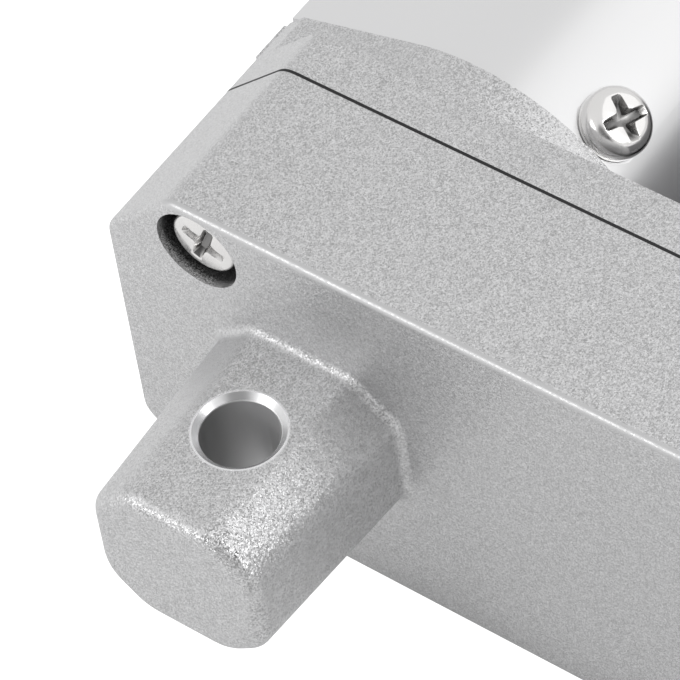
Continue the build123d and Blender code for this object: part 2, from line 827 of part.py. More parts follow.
# Rod and eye
shoulder_x = eye_x - eye_shoulder
with BuildPart() as inner_rod:
    with BuildSketch(Plane.YZ.offset(nut_front_x - rod_socket)):
        Circle(rod_r)
        Circle(rod_bore_r, mode=Mode.SUBTRACT)
    extrude(amount=shoulder_x - nut_front_x + rod_socket)
    with BuildSketch(Plane.XZ.offset(-rod_r - 1)):
        with Locations((shoulder_x - eye_pin_inset, 0)):
            Circle(eye_pin_d / 2)
    extrude(amount=2 * rod_r + 2, mode=Mode.SUBTRACT)

with BuildPart() as rod_eye:
    with BuildSketch(Plane.YZ.offset(shoulder_x - eye_plug)):
        Circle(rod_bore_r)
    extrude(amount=eye_plug)
    with BuildSketch(Plane.YZ.offset(shoulder_x)):
        Circle(rod_r)
    extrude(amount=eye_shoulder + eye_tip)
    fillet(faces().sort_by(Axis.X)[-1].edges(), eye_round)
    for side in (1, -1):
        with BuildSketch(Plane.XY.offset(side * eye_thick / 2)):
            with Locations((shoulder_x + eye_flat_start + rod_r, 0)):
                Rectangle(2 * rod_r, 3 * rod_r)
        extrude(amount=side * rod_r, mode=Mode.SUBTRACT)
    with BuildSketch(Plane.XY.offset(-eye_thick)):
        with Locations((eye_x, 0)):
            Circle(mount_r)
    extrude(amount=2 * eye_thick, mode=Mode.SUBTRACT)
    mouths = edges().filter_by(GeomType.CIRCLE)
    mouths = mouths.filter_by(lambda e: abs(e.radius - mount_r) < 0.001)
    chamfer(mouths, mount_chamfer)
    with BuildSketch(Plane.XZ.offset(-rod_r - 1)):
        with Locations((shoulder_x - eye_pin_inset, 0)):
            Circle(eye_pin_d / 2)
    extrude(amount=2 * rod_r + 2, mode=Mode.SUBTRACT)

pin_half = math.sqrt(rod_r**2 - (eye_pin_d / 2) ** 2) - 0.1
with BuildPart() as rod_eye_pin:
    with BuildSketch(Plane.XZ.offset(-pin_half)):
        with Locations((shoulder_x - eye_pin_inset, 0)):
            Circle(eye_pin_d / 2)
    extrude(amount=2 * pin_half)

# Front cap, bush and wiper
wiper_r = rod_r + wiper_wall
wiper_front_x = cap_front_x - wiper_gap
with BuildPart() as front_cap:
    with BuildSketch(Plane.YZ.offset(tube_front_x)):
        Circle(collar_r)
        Polygon(*squared_side(collar_r), align=None)
        fillet(vertices().group_by(Axis.Y)[-1], tube_corner_round)
    extrude(amount=cap_flange)
    chamfer(faces().sort_by(Axis.X)[-1].edges(), cap_edge)
    with BuildSketch(Plane.YZ.offset(tube_front_x)):
        Circle(tube_bore_r - spigot_gap)
        with Locations(((channel_y - spigot_gap) / 2, 0)):
            Rectangle(channel_y - spigot_gap, 2 * (channel_half - spigot_gap))
    extrude(amount=-cap_spigot)
    with BuildSketch(Plane.YZ.offset(cap_rear_x)):
        Circle(rod_r + cap_lip_gap)
    extrude(amount=cap_spigot + cap_flange, mode=Mode.SUBTRACT)
    with BuildSketch(Plane.YZ.offset(cap_rear_x)):
        Circle(cap_bush_r)
    extrude(amount=cap_spigot + bush_into_flange, mode=Mode.SUBTRACT)
    with BuildSketch(Plane.YZ.offset(wiper_front_x - wiper_width)):
        Circle(wiper_r)
    extrude(amount=wiper_width + wiper_gap, mode=Mode.SUBTRACT)
    for angle in tube_screw_angles:
        with BuildSketch(radial_plane(tube_front_x - cap_screw_inset, tube_r, angle)):
            Circle(screw_r)
        extrude(amount=-(tube_r - cap_bush_r - 0.2), mode=Mode.SUBTRACT)

with BuildPart() as rod_bush:
    with BuildSketch(Plane.YZ.offset(cap_rear_x)):
        Circle(cap_bush_r)
        Circle(rod_r + bush_play, mode=Mode.SUBTRACT)
    extrude(amount=cap_spigot + bush_into_flange)

with BuildPart() as rod_wiper:
    with BuildSketch(Plane.XY):
        with BuildLine():
            Polyline(
                (wiper_front_x - wiper_width, rod_r + cap_lip_gap),
                (wiper_front_x - wiper_width, wiper_r),
                (wiper_front_x, wiper_r),
                (wiper_front_x, rod_r + 1.2),
                (wiper_front_x + 0.6, rod_r + 0.6),
                (wiper_front_x + 0.6, rod_r + bush_play),
                (wiper_front_x - 0.6, rod_r + bush_play),
                (wiper_front_x - 1.6, rod_r + cap_lip_gap),
                close=True,
            )
        make_face()
    revolve(axis=Axis.X)

# Limit switches on a strip in the tube's channel
board_rear_x = spigot_front_x + board_gap
board_front_x = cap_rear_x - 1.0
with BuildPart() as limit_switch_board:
    with BuildSketch(Plane.YZ.offset(board_rear_x)):
        with Locations((channel_y - board_thick / 2, 0)):
            Rectangle(board_thick, 2 * board_half)
    extrude(amount=board_front_x - board_rear_x)

switch_y = channel_y - board_thick - switch_height / 2
with BuildPart() as rear_limit_switch:
    with BuildSketch(Plane.YZ.offset(board_rear_x + 1)):
        with Locations((switch_y, 0)):
            Rectangle(switch_height, 2 * switch_half)
    extrude(amount=switch_length)
    chamfer(edges().filter_by(Axis.X).group_by(Axis.Y)[0], 0.5)

with BuildPart() as front_limit_switch:
    with BuildSketch(Plane.YZ.offset(board_front_x - 1)):
        with Locations((switch_y, 0)):
            Rectangle(switch_height, 2 * switch_half)
    extrude(amount=-switch_length)
    chamfer(edges().filter_by(Axis.X).group_by(Axis.Y)[0], 0.5)

# Motor can with its front boss
with BuildPart() as motor_can:
    with BuildSketch(Plane.YZ.offset(can_x)):
        with Locations((motor_y, 0)):
            Circle(can_r)
    extrude(amount=can_length)
    with BuildSketch(Plane.YZ.offset(can_x)):
        with Locations((motor_y, 0)):
            Circle(boss_r)
    extrude(amount=-boss_length)
    with BuildSketch(Plane.YZ.offset(can_x + can_front)):
        with Locations((motor_y, 0)):
            Circle(can_r - can_wall)
    extrude(amount=can_length, mode=Mode.SUBTRACT)
    with BuildSketch(Plane.YZ.offset(can_x - boss_length)):
        with Locations((motor_y, 0)):
            Circle(front_bush_r)
    extrude(amount=boss_length + can_front, mode=Mode.SUBTRACT)
    with BuildSketch(Plane.YZ.offset(can_x)):
        with Locations((motor_y, motor_screw_z), (motor_y, -motor_screw_z)):
            Circle(screw_r)
    extrude(amount=can_front, mode=Mode.SUBTRACT)

with BuildPart() as motor_front_bush:
    with BuildSketch(Plane.YZ.offset(can_x - boss_length + front_bush_inset)):
        with Locations((motor_y, 0)):
            Circle(front_bush_r)
            Circle(motor_shaft_r + motor_shaft_play, mode=Mode.SUBTRACT)
    extrude(amount=front_bush_length)

with BuildPart() as motor_magnets:
    with BuildSketch(Plane.YZ.offset(can_x + magnet_start)):
        with Locations((motor_y, 0)):
            Circle(magnet_r)
            Circle(magnet_r - magnet_thick, mode=Mode.SUBTRACT)
            reach = 2 * magnet_r
            spread = reach / math.tan(math.radians(magnet_half_deg))
            Polygon((0, 0), (reach, spread), (reach, -spread), align=None, mode=Mode.SUBTRACT)
            Polygon((0, 0), (-reach, spread), (-reach, -spread), align=None, mode=Mode.SUBTRACT)
    extrude(amount=magnet_length)

# Armature: slotted core, windings and commutator on the motor shaft
core_x = can_x + core_start
core_front_x = core_x + core_length
slot_top_r = core_r - slot_top_gap
with BuildPart() as motor_shaft:
    with BuildSketch(Plane.YZ.offset(input_x - pinion_overhang - 0.6)):
        with Locations((motor_y, 0)):
            Circle(motor_shaft_r)
    extrude(amount=can_rear_x + bell_flange + bell_boss_length + shaft_tail - input_x + 0.6)

with BuildPart() as armature_core:
    with BuildSketch(Plane.YZ.offset(core_x)):
        with Locations((motor_y, 0)):
            Circle(core_r)
            with PolarLocations((slot_floor_r + slot_top_r) / 2, slot_count):
                Rectangle(slot_top_r - slot_floor_r, 2 * slot_half, mode=Mode.SUBTRACT)
            with PolarLocations(core_r, slot_count):
                Rectangle(2.5 * slot_top_gap, 0.6, mode=Mode.SUBTRACT)
            Circle(motor_shaft_r, mode=Mode.SUBTRACT)
    extrude(amount=core_length)

with BuildPart() as armature_windings:
    with BuildSketch(Plane.YZ.offset(core_x - coil_gap)):
        with Locations((motor_y, 0)):
            with PolarLocations((slot_floor_r + slot_top_r) / 2, slot_count):
                Rectangle(slot_top_r - slot_floor_r - 0.2, 2 * slot_half - 0.2)
    extrude(amount=core_length + 2 * coil_gap)
    for station in (core_x - coil_gap, core_front_x + coil_gap + coil_length):
        with BuildSketch(Plane.YZ.offset(station)):
            with Locations((motor_y, 0)):
                Circle(coil_outer_r)
                Circle(coil_inner_r, mode=Mode.SUBTRACT)
        extrude(amount=-coil_length)
    outer_rims = edges().filter_by(GeomType.CIRCLE)
    outer_rims = outer_rims.filter_by(lambda e: abs(e.radius - coil_outer_r) < 0.01)
    fillet(outer_rims.group_by(Axis.X)[0] + outer_rims.group_by(Axis.X)[-1], 1.5)

with BuildPart() as commutator:
    with BuildSketch(Plane.YZ.offset(commutator_x)):
        with Locations((motor_y, 0)):
            Circle(commutator_r)
            Circle(motor_shaft_r, mode=Mode.SUBTRACT)
    extrude(amount=commutator_length)

# Motor end bell with two brush towers
bell_x = can_rear_x
brush_x = commutator_x + commutator_length / 2
with BuildPart() as motor_end_bell:
    with BuildSketch(Plane.YZ.offset(bell_x)):
        with Locations((motor_y, 0)):
            Circle(can_r)
    extrude(amount=bell_flange)
    with BuildSketch(Plane.YZ.offset(bell_x + bell_flange)):
        with Locations((motor_y, 0)):
            Circle(bell_boss_r)
    extrude(amount=bell_boss_length)
    with BuildSketch(Plane.YZ.offset(bell_x)):
        with Locations((motor_y, 0)):
            Circle(magnet_r)
            Circle(magnet_r - bell_ring_wall, mode=Mode.SUBTRACT)
    extrude(amount=-bell_spigot)
    for side in (1, -1):
        with BuildSketch(Plane.YZ.offset(bell_x)):
            with Locations((motor_y, side * (tower_inner_r + tower_outer_r) / 2)):
                Rectangle(2 * tower_half, tower_outer_r - tower_inner_r)
        extrude(amount=-tower_reach)
    with BuildSketch(Plane.XY.offset(-tower_outer_r)):
        with Locations((brush_x, motor_y)):
            Rectangle(2 * brush_x_half, 2 * brush_y_half)
    extrude(amount=2 * tower_outer_r, mode=Mode.SUBTRACT)
    bell_end_x = bell_x + bell_flange + bell_boss_length
    with BuildSketch(Plane.YZ.offset(bell_x)):
        with Locations((motor_y, 0)):
            Circle(motor_shaft_r + 0.4)
    extrude(amount=bell_flange + bell_boss_length, mode=Mode.SUBTRACT)
    with BuildSketch(Plane.YZ.offset(bell_end_x)):
        with Locations((motor_y, 0)):
            Circle(rear_bush_r)
    extrude(amount=-rear_bush_length, mode=Mode.SUBTRACT)
    with BuildSketch(Plane.YZ.offset(bell_x)):
        with Locations((motor_y + terminal_y, 0), (motor_y - terminal_y, 0)):
            Rectangle(terminal_thick, 2 * terminal_half)
    extrude(amount=bell_flange, mode=Mode.SUBTRACT)

with BuildPart() as motor_rear_bush:
    with BuildSketch(Plane.YZ.offset(bell_end_x)):
        with Locations((motor_y, 0)):
            Circle(rear_bush_r)
            Circle(motor_shaft_r + motor_shaft_play, mode=Mode.SUBTRACT)
    extrude(amount=-rear_bush_length)

with BuildPart() as motor_brushes:
    for side in (1, -1):
        with BuildSketch(Plane.XY.offset(side * (commutator_r + brush_gap))):
            with Locations((brush_x, motor_y)):
                Rectangle(2 * brush_x_half, 2 * brush_y_half)
        extrude(amount=side * brush_reach)

with BuildPart() as motor_terminals:
    with BuildSketch(Plane.YZ.offset(bell_x - terminal_in)):
        with Locations((motor_y + terminal_y, 0), (motor_y - terminal_y, 0)):
            Rectangle(terminal_thick, 2 * terminal_half)
    extrude(amount=terminal_in + bell_flange + terminal_out)

# Motor end cap, its seal and the cable inlet
end_spigot_r = cover_bore_r - spigot_gap
seal_x = end_rear_x + seal_inset
with BuildPart() as motor_end_cap:
    with BuildSketch(Plane.YZ.offset(cover_front_x)):
        with Locations((motor_y, 0)):
            Circle(cover_r)
    extrude(amount=end_flange)
    chamfer(faces().sort_by(Axis.X)[-1].edges(), end_edge)
    with BuildSketch(Plane.YZ.offset(cover_front_x)):
        with Locations((motor_y, 0)):
            Circle(end_spigot_r)
    extrude(amount=-end_spigot)
    with BuildSketch(Plane.YZ.offset(end_rear_x)):
        with Locations((motor_y, 0)):
            Circle(end_spigot_r - end_wall)
    extrude(amount=end_front_x - end_floor - end_rear_x, mode=Mode.SUBTRACT)
    with BuildSketch(Plane.YZ.offset(seal_x - seal_groove_play)):
        with Locations((motor_y, 0)):
            Circle(cover_bore_r + 1)
            Circle(cover_bore_r - seal_height, mode=Mode.SUBTRACT)
    extrude(amount=seal_width + 2 * seal_groove_play, mode=Mode.SUBTRACT)
    with BuildSketch(Plane.YZ.offset(end_rear_x)):
        with Locations((motor_y, -grommet_drop)):
            Circle(grommet_r)
    extrude(amount=end_spigot + end_flange, mode=Mode.SUBTRACT)
    for angle in cover_screw_angles:
        with BuildSketch(radial_plane(cover_front_x - end_screw_inset, cover_r, angle, motor_y)):
            Circle(screw_r)
        extrude(amount=-(cover_r - end_spigot_r + end_wall + 1), mode=Mode.SUBTRACT)

with BuildPart() as end_cap_seal:
    with BuildSketch(Plane.XY):
        with Locations((seal_x + seal_width / 2, motor_y + cover_bore_r - seal_height / 2)):
            RectangleRounded(seal_width, seal_height, seal_round)
    revolve(axis=Axis((0, motor_y, 0), (1, 0, 0)))

grommet_floor_x = end_front_x - end_floor
with BuildPart() as cable_grommet:
    with BuildSketch(Plane.YZ.offset(end_front_x)):
        with Locations((motor_y, -grommet_drop)):
            Circle(grommet_flange_r)
    extrude(amount=grommet_out)
    chamfer(faces().sort_by(Axis.X)[-1].edges(), 0.6)
    with BuildSketch(Plane.YZ.offset(grommet_floor_x)):
        with Locations((motor_y, -grommet_drop)):
            Circle(grommet_flange_r - 0.4)
    extrude(amount=-grommet_in)
    with BuildSketch(Plane.YZ.offset(grommet_floor_x)):
        with Locations((motor_y, -grommet_drop)):
            Circle(grommet_r)
    extrude(amount=end_floor)
    with BuildSketch(Plane.YZ.offset(grommet_floor_x - grommet_in)):
        with Locations((motor_y, -grommet_drop)):
            Circle(grommet_bore_r)
    extrude(amount=grommet_in + end_floor + grommet_out, mode=Mode.SUBTRACT)

# Label each part and write it
rear_cover.part.label = "rear_cover"
export_step(rear_cover.part, "parts/rear_cover.step")
housing_gasket.part.label = "housing_gasket"
export_step(housing_gasket.part, "parts/housing_gasket.step")
front_housing.part.label = "front_housing"
export_step(front_housing.part, "parts/front_housing.step")
housing_screws.part.label = "housing_screws"
export_step(housing_screws.part, "parts/housing_screws.step")
outer_tube.part.label = "outer_tube"
export_step(outer_tube.part, "parts/outer_tube.step")
tube_rear_screws.part.label = "tube_rear_screws"
export_step(tube_rear_screws.part, "parts/tube_rear_screws.step")
tube_front_screws.part.label = "tube_front_screws"
export_step(tube_front_screws.part, "parts/tube_front_screws.step")
front_cap.part.label = "front_cap"
export_step(front_cap.part, "parts/front_cap.step")
rod_bush.part.label = "rod_bush"
export_step(rod_bush.part, "parts/rod_bush.step")
rod_wiper.part.label = "rod_wiper"
export_step(rod_wiper.part, "parts/rod_wiper.step")
rear_bush.part.label = "rear_bush"
export_step(rear_bush.part, "parts/rear_bush.step")
bearing_outer_ring.part.label = "bearing_outer_ring"
export_step(bearing_outer_ring.part, "parts/bearing_outer_ring.step")
bearing_inner_ring.part.label = "bearing_inner_ring"
export_step(bearing_inner_ring.part, "parts/bearing_inner_ring.step")
bearing_balls.part.label = "bearing_balls"
export_step(bearing_balls.part, "parts/bearing_balls.step")
bearing_cage.part.label = "bearing_cage"
export_step(bearing_cage.part, "parts/bearing_cage.step")
bearing_circlip.part.label = "bearing_circlip"
export_step(bearing_circlip.part, "parts/bearing_circlip.step")
gear_circlip.part.label = "gear_circlip"
export_step(gear_circlip.part, "parts/gear_circlip.step")
lead_screw.part.label = "lead_screw"
export_step(lead_screw.part, "parts/lead_screw.step")
gear_key.part.label = "gear_key"
export_step(gear_key.part, "parts/gear_key.step")
gear_spacer.part.label = "gear_spacer"
export_step(gear_spacer.part, "parts/gear_spacer.step")
output_gear.part.label = "output_gear"
export_step(output_gear.part, "parts/output_gear.step")
idler_gear.part.label = "idler_gear"
export_step(idler_gear.part, "parts/idler_gear.step")
idler_pin.part.label = "idler_pin"
export_step(idler_pin.part, "parts/idler_pin.step")
idler_washers.part.label = "idler_washers"
export_step(idler_washers.part, "parts/idler_washers.step")
motor_pinion.part.label = "motor_pinion"
export_step(motor_pinion.part, "parts/motor_pinion.step")
drive_nut.part.label = "drive_nut"
export_step(drive_nut.part, "parts/drive_nut.step")
nut_guide_ring.part.label = "nut_guide_ring"
export_step(nut_guide_ring.part, "parts/nut_guide_ring.step")
inner_rod.part.label = "inner_rod"
export_step(inner_rod.part, "parts/inner_rod.step")
rod_eye.part.label = "rod_eye"
export_step(rod_eye.part, "parts/rod_eye.step")
rod_eye_pin.part.label = "rod_eye_pin"
export_step(rod_eye_pin.part, "parts/rod_eye_pin.step")
limit_switch_board.part.label = "limit_switch_board"
export_step(limit_switch_board.part, "parts/limit_switch_board.step")
rear_limit_switch.part.label = "rear_limit_switch"
export_step(rear_limit_switch.part, "parts/rear_limit_switch.step")
front_limit_switch.part.label = "front_limit_switch"
export_step(front_limit_switch.part, "parts/front_limit_switch.step")
motor_can.part.label = "motor_can"
export_step(motor_can.part, "parts/motor_can.step")
motor_magnets.part.label = "motor_magnets"
export_step(motor_magnets.part, "parts/motor_magnets.step")
motor_front_bush.part.label = "motor_front_bush"
export_step(motor_front_bush.part, "parts/motor_front_bush.step")
motor_end_bell.part.label = "motor_end_bell"
export_step(motor_end_bell.part, "parts/motor_end_bell.step")
motor_rear_bush.part.label = "motor_rear_bush"
export_step(motor_rear_bush.part, "parts/motor_rear_bush.step")
motor_brushes.part.label = "motor_brushes"
export_step(motor_brushes.part, "parts/motor_brushes.step")
motor_terminals.part.label = "motor_terminals"
export_step(motor_terminals.part, "parts/motor_terminals.step")
motor_screws.part.label = "motor_screws"
export_step(motor_screws.part, "parts/motor_screws.step")
motor_shaft.part.label = "motor_shaft"
export_step(motor_shaft.part, "parts/motor_shaft.step")
armature_core.part.label = "armature_core"
export_step(armature_core.part, "parts/armature_core.step")
armature_windings.part.label = "armature_windings"
export_step(armature_windings.part, "parts/armature_windings.step")
commutator.part.label = "commutator"
export_step(commutator.part, "parts/commutator.step")
motor_cover.part.label = "motor_cover"
export_step(motor_cover.part, "parts/motor_cover.step")
motor_cover_screws.part.label = "motor_cover_screws"
export_step(motor_cover_screws.part, "parts/motor_cover_screws.step")
motor_end_cap.part.label = "motor_end_cap"
export_step(motor_end_cap.part, "parts/motor_end_cap.step")
end_cap_seal.part.label = "end_cap_seal"
export_step(end_cap_seal.part, "parts/end_cap_seal.step")
end_cap_screws.part.label = "end_cap_screws"
export_step(end_cap_screws.part, "parts/end_cap_screws.step")
cable_grommet.part.label = "cable_grommet"
export_step(cable_grommet.part, "parts/cable_grommet.step")
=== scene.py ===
import math

import bmesh
import bpy
from mathutils import Matrix, Vector


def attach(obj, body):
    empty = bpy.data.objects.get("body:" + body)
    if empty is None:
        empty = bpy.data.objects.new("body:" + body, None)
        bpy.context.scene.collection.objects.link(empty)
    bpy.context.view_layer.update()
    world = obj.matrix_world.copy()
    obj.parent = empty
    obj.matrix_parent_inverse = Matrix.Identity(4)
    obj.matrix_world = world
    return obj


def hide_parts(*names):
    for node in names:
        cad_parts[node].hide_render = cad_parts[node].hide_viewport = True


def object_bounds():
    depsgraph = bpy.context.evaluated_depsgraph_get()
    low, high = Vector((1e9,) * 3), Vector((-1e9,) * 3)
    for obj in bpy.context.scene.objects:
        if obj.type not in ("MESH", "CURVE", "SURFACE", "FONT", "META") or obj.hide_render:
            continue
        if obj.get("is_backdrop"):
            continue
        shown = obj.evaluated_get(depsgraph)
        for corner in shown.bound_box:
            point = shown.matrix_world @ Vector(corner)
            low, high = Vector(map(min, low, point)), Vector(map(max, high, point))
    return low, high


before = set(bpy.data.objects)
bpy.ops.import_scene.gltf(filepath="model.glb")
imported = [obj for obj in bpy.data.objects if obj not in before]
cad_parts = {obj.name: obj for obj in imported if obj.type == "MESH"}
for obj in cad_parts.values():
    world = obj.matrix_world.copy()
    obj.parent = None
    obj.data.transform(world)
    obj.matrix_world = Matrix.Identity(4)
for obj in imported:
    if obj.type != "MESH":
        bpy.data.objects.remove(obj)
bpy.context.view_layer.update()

bl_info = {
    "name": "Linear Actuator",
    "version": (1, 0, 0),
    "blender": (4, 5, 0),
    "location": "3D View > Sidebar > Actuator",
    "description": "Screws, threads, windings and finishes for the linear actuator",
    "category": "Object",
}

MM = 0.001

# Places and sizes are in millimetres in the part's own frame, down to the studio's.

# The motor's axis, and the middle line between it and the lead screw's axis.
MOTOR_Y = -39.0
MIDDLE_Y = MOTOR_Y / 2

# The housing's four counterbores: where their floors are, and how far they lie from the middle.
COUNTERBORE_X = 11.8
COUNTERBORE_Y = 29.06
COUNTERBORE_Z = 14.5

# The radial screws: how far their seats lie from a tube's axis, and where they are round it.
SEAT_RADIUS = 17.75
TUBE_SCREW_DEGREES = (38, 142, 270)
COVER_SCREW_DEGREES = (50, 130)

# The pan heads: the broken lower edge, the steps of the rounded crown, and how far the top rises
# half way in and in its middle.
HEAD_EDGE = 0.12
CROWN_STEPS = 8
CROWN_DOME = (0.03, 0.04)
HEAD_SIDES = 48
# How far each shank reaches into its head.
SHANK_OVERLAP = 0.4

# Stations along X on the lead screw.
JOURNAL_X = 7.0
SHAFT_X = 11.9
THREAD_X = 32.6
THREAD_END_X = 172.0
RING_GROOVE = (12.4, 13.5)
KEYWAY = (13.9, 19.9)
# How far the plain shaft reaches into the thread, and the lead screw's chamfers.
SHAFT_OVERLAP = 0.5
JOURNAL_CHAMFER = 0.4
SHAFT_CHAMFER = 0.2
THREAD_NOSE = 0.8

# The armature: its core along X, its coils, and the slots that each coil spans.
CORE_X = (40.0, 62.0)
COIL_COUNT = 5
COIL_SLOTS = 2
# A coil's turns: the inner one's radius and what the outer one adds, the outer one's bulge over
# the core's end and what the inner one adds, how far they lie from a slot's middle, how far they
# clear the core's end, and how near they come to the shaft.
TURN_RADIUS = (5.2, 3.4)
TURN_BULGE = (0.9, 2.9)
TURN_LEAN = 0.75
TURN_LIFT = 0.45
TURN_INNER = 4.1
ARCH_STEPS = 12

# The finish of the castings, and the painted shade on the counterbore walls, change between the
# two places of each pair. Round the mounting hole they are distances from its axis, and round a
# counterbore from that one's axis.
HOLE_CUT = (4.05, 3.85)
HOLE_BORE = (3.34, 3.28)
TONGUE_X = (8.6, 7.6)
RIM_Z = (18.2, 18.5)
RIM_X = (9.25, 9.1)
COUNTERBORE_WALL = (3.98, 3.9)
COUNTERBORE_MOUTH_X = (8.75, 9.6)
COUNTERBORE_FLOOR_X = (13.0, 12.0)
# Painted shading on the bore's wall: it gets lighter this way across the hole, between two places.
BORE_LIGHT = (0.92, -0.56)
BORE_LIGHT_ENDS = (-1.5, 3.4)
# The way that the enamel's spray came from.
SPRAY_DIRECTION = (-0.35, -0.70, 0.62)

# The finish that each of the record's material slots gets.
SLOT_FINISHES = {
    "cast_metal": "sparkle_coat",
    "tube_metal": "satin_tube",
    "gasket": "gasket_paper",
    "screw_metal": "nickel_plate",
    "seal_rubber": "seal_rubber",
    "rod_metal": "ground_rod",
    "steel": "turned_steel",
    "bearing_steel": "polished_race",
    "contact_brass": "rolled_brass",
    "gear_steel": "sintered_gear",
    "bronze": "oiled_bronze",
    "nut_plastic": "nut_acetal",
    "guide_plastic": "glass_nylon",
    "board": "board_laminate",
    "can_steel": "zinc_can",
    "magnet": "magnet_ferrite",
    "core_steel": "core_laminations",
    "copper": "enamel_copper",
    "carbon": "brush_carbon",
}
# Nodes whose finish differs from their slot's.
NODE_FINISHES = {"motor_cover": "graphite_cover", "commutator": "commutator_bars"}

# Plain metals: colour, roughness, how much the tool marks are squeezed along each axis, how many
# go to a metre, and their depth.
EVEN = (1.0, 1.0, 1.0)
METALS = {
    "ground_rod": ((0.72, 0.73, 0.74), 0.2, (0.1, 1.0, 1.0), 1800.0, 0.002),
    "turned_steel": ((0.56, 0.56, 0.57), 0.32, (4.0, 0.4, 0.4), 1200.0, 0.002),
    "polished_race": ((0.66, 0.67, 0.68), 0.14, EVEN, 1200.0, 0.0008),
    "rolled_brass": ((0.72, 0.52, 0.24), 0.3, EVEN, 1200.0, 0.002),
    "sintered_gear": ((0.34, 0.34, 0.35), 0.42, EVEN, 2600.0, 0.002),
    "oiled_bronze": ((0.52, 0.34, 0.17), 0.38, EVEN, 2600.0, 0.002),
    "zinc_can": ((0.6, 0.61, 0.63), 0.36, EVEN, 420.0, 0.002),
    "enamel_copper": ((0.62, 0.24, 0.09), 0.26, EVEN, 1200.0, 0.002),
}
# Moulded and pressed ones: colour, roughness, the skin's grains to a metre, its depth and speckle.
MOULDS = {
    "gasket_paper": ((0.012, 0.012, 0.013), 0.7, 1400.0, 0.01, 0.3),
    "seal_rubber": ((0.02, 0.02, 0.021), 0.55, 700.0, 0.008, 0.2),
    "nut_acetal": ((0.78, 0.77, 0.72), 0.38, 900.0, 0.006, 0.0),
    "glass_nylon": ((0.035, 0.036, 0.038), 0.5, 1600.0, 0.01, 0.4),
    "board_laminate": ((0.02, 0.11, 0.05), 0.35, 2200.0, 0.003, 0.3),
    "magnet_ferrite": ((0.05, 0.05, 0.055), 0.6, 2400.0, 0.01, 0.5),
    "brush_carbon": ((0.03, 0.03, 0.031), 0.45, 3000.0, 0.006, 0.5),
}

# The studio, in metres: the floor, and how far it lies below the object.
FLOOR_RADIUS = 3.0
FLOOR_MIDDLE_X = 0.09
FLOOR_GAP = 0.02 * MM
# The soft boxes: place, width, height, power in watts, and the point that they face.
SOFT_BOXES = {
    "back_box": ((0.48, -0.54, 0.70), 1.15, 0.95, 1.0, (0.01, -0.01, 0.0)),
    "corner_box": ((0.039, -0.083, 0.072), 0.04, 0.036, 0.0185, (-0.004, -0.006, 0.006)),
    "edge_box": ((-0.72, 0.42, 0.50), 0.4, 0.3, 1.6, (0.01, -0.01, 0.0)),
}
# The way from the object to the room's one dark spot, which the countersink mirrors, and the
# cosines between which the spot fades in.
DARK_DIRECTION = (-0.66, -0.45, 0.60)
DARK_EDGE = (0.86, 0.97)
# The camera: its place in millimetres, the way to its right and the way back from what it sees,
# its focal length and the picture's width in pixels, and the sensor's width in millimetres.
CAMERA_PLACE = (-164.888, -161.898, 306.448)
CAMERA_RIGHT = (0.57764, -0.81080, -0.09453)
CAMERA_BACK = (-0.46104, -0.41962, 0.78189)
FOCAL_PIXELS = 4871.87
PICTURE_PIXELS = 680.0
SENSOR_WIDTH = 36.0


# Screw seats: the middle of each seat in millimetres, and the way that the head faces


def radial_seats(x, degrees, y=0.0):
    """Seats round an axis along X. Angle 0 is +Z and 90 is -Y."""
    seats = []
    for angle in degrees:
        turn = math.radians(angle)
        out = (0.0, -math.sin(turn), math.cos(turn))
        seats.append(((x, y + SEAT_RADIUS * out[1], SEAT_RADIUS * out[2]), out))
    return seats


HOUSING_SEATS = [
    ((COUNTERBORE_X, MIDDLE_Y + side * COUNTERBORE_Y, z), (-1, 0, 0))
    for side in (1, -1)
    for z in (COUNTERBORE_Z, -COUNTERBORE_Z)
]
MOTOR_SEATS = [((25.6, MOTOR_Y, z), (-1, 0, 0)) for z in (8.5, -8.5)]
TUBE_REAR_SEATS = radial_seats(36.3, TUBE_SCREW_DEGREES)
TUBE_FRONT_SEATS = radial_seats(175.0, TUBE_SCREW_DEGREES)
COVER_SEATS = radial_seats(36.3, COVER_SCREW_DEGREES, MOTOR_Y)
END_CAP_SEATS = radial_seats(96.8, COVER_SCREW_DEGREES, MOTOR_Y)

# Each group of screws: the detailed piece, the CAD node that it stands for, the shank's length in
# millimetres, the seats, and how far each cross is turned in degrees.
SCREW_GROUPS = [
    ("housing_pan_screws", "housing_screws", 16.0, HOUSING_SEATS, (66, 10, 72, 55)),
    ("motor_pan_screws", "motor_screws", 5.0, MOTOR_SEATS, (20, 64)),
    ("tube_rear_pan_screws", "tube_rear_screws", 6.0, TUBE_REAR_SEATS, (67, 28, 60)),
    ("tube_front_pan_screws", "tube_front_screws", 4.95, TUBE_FRONT_SEATS, (40, 12, 75)),
    ("motor_cover_pan_screws", "motor_cover_screws", 3.25, COVER_SEATS, (66, 31)),
    ("end_cap_pan_screws", "end_cap_screws", 3.25, END_CAP_SEATS, (8, 47)),
]


# Node building


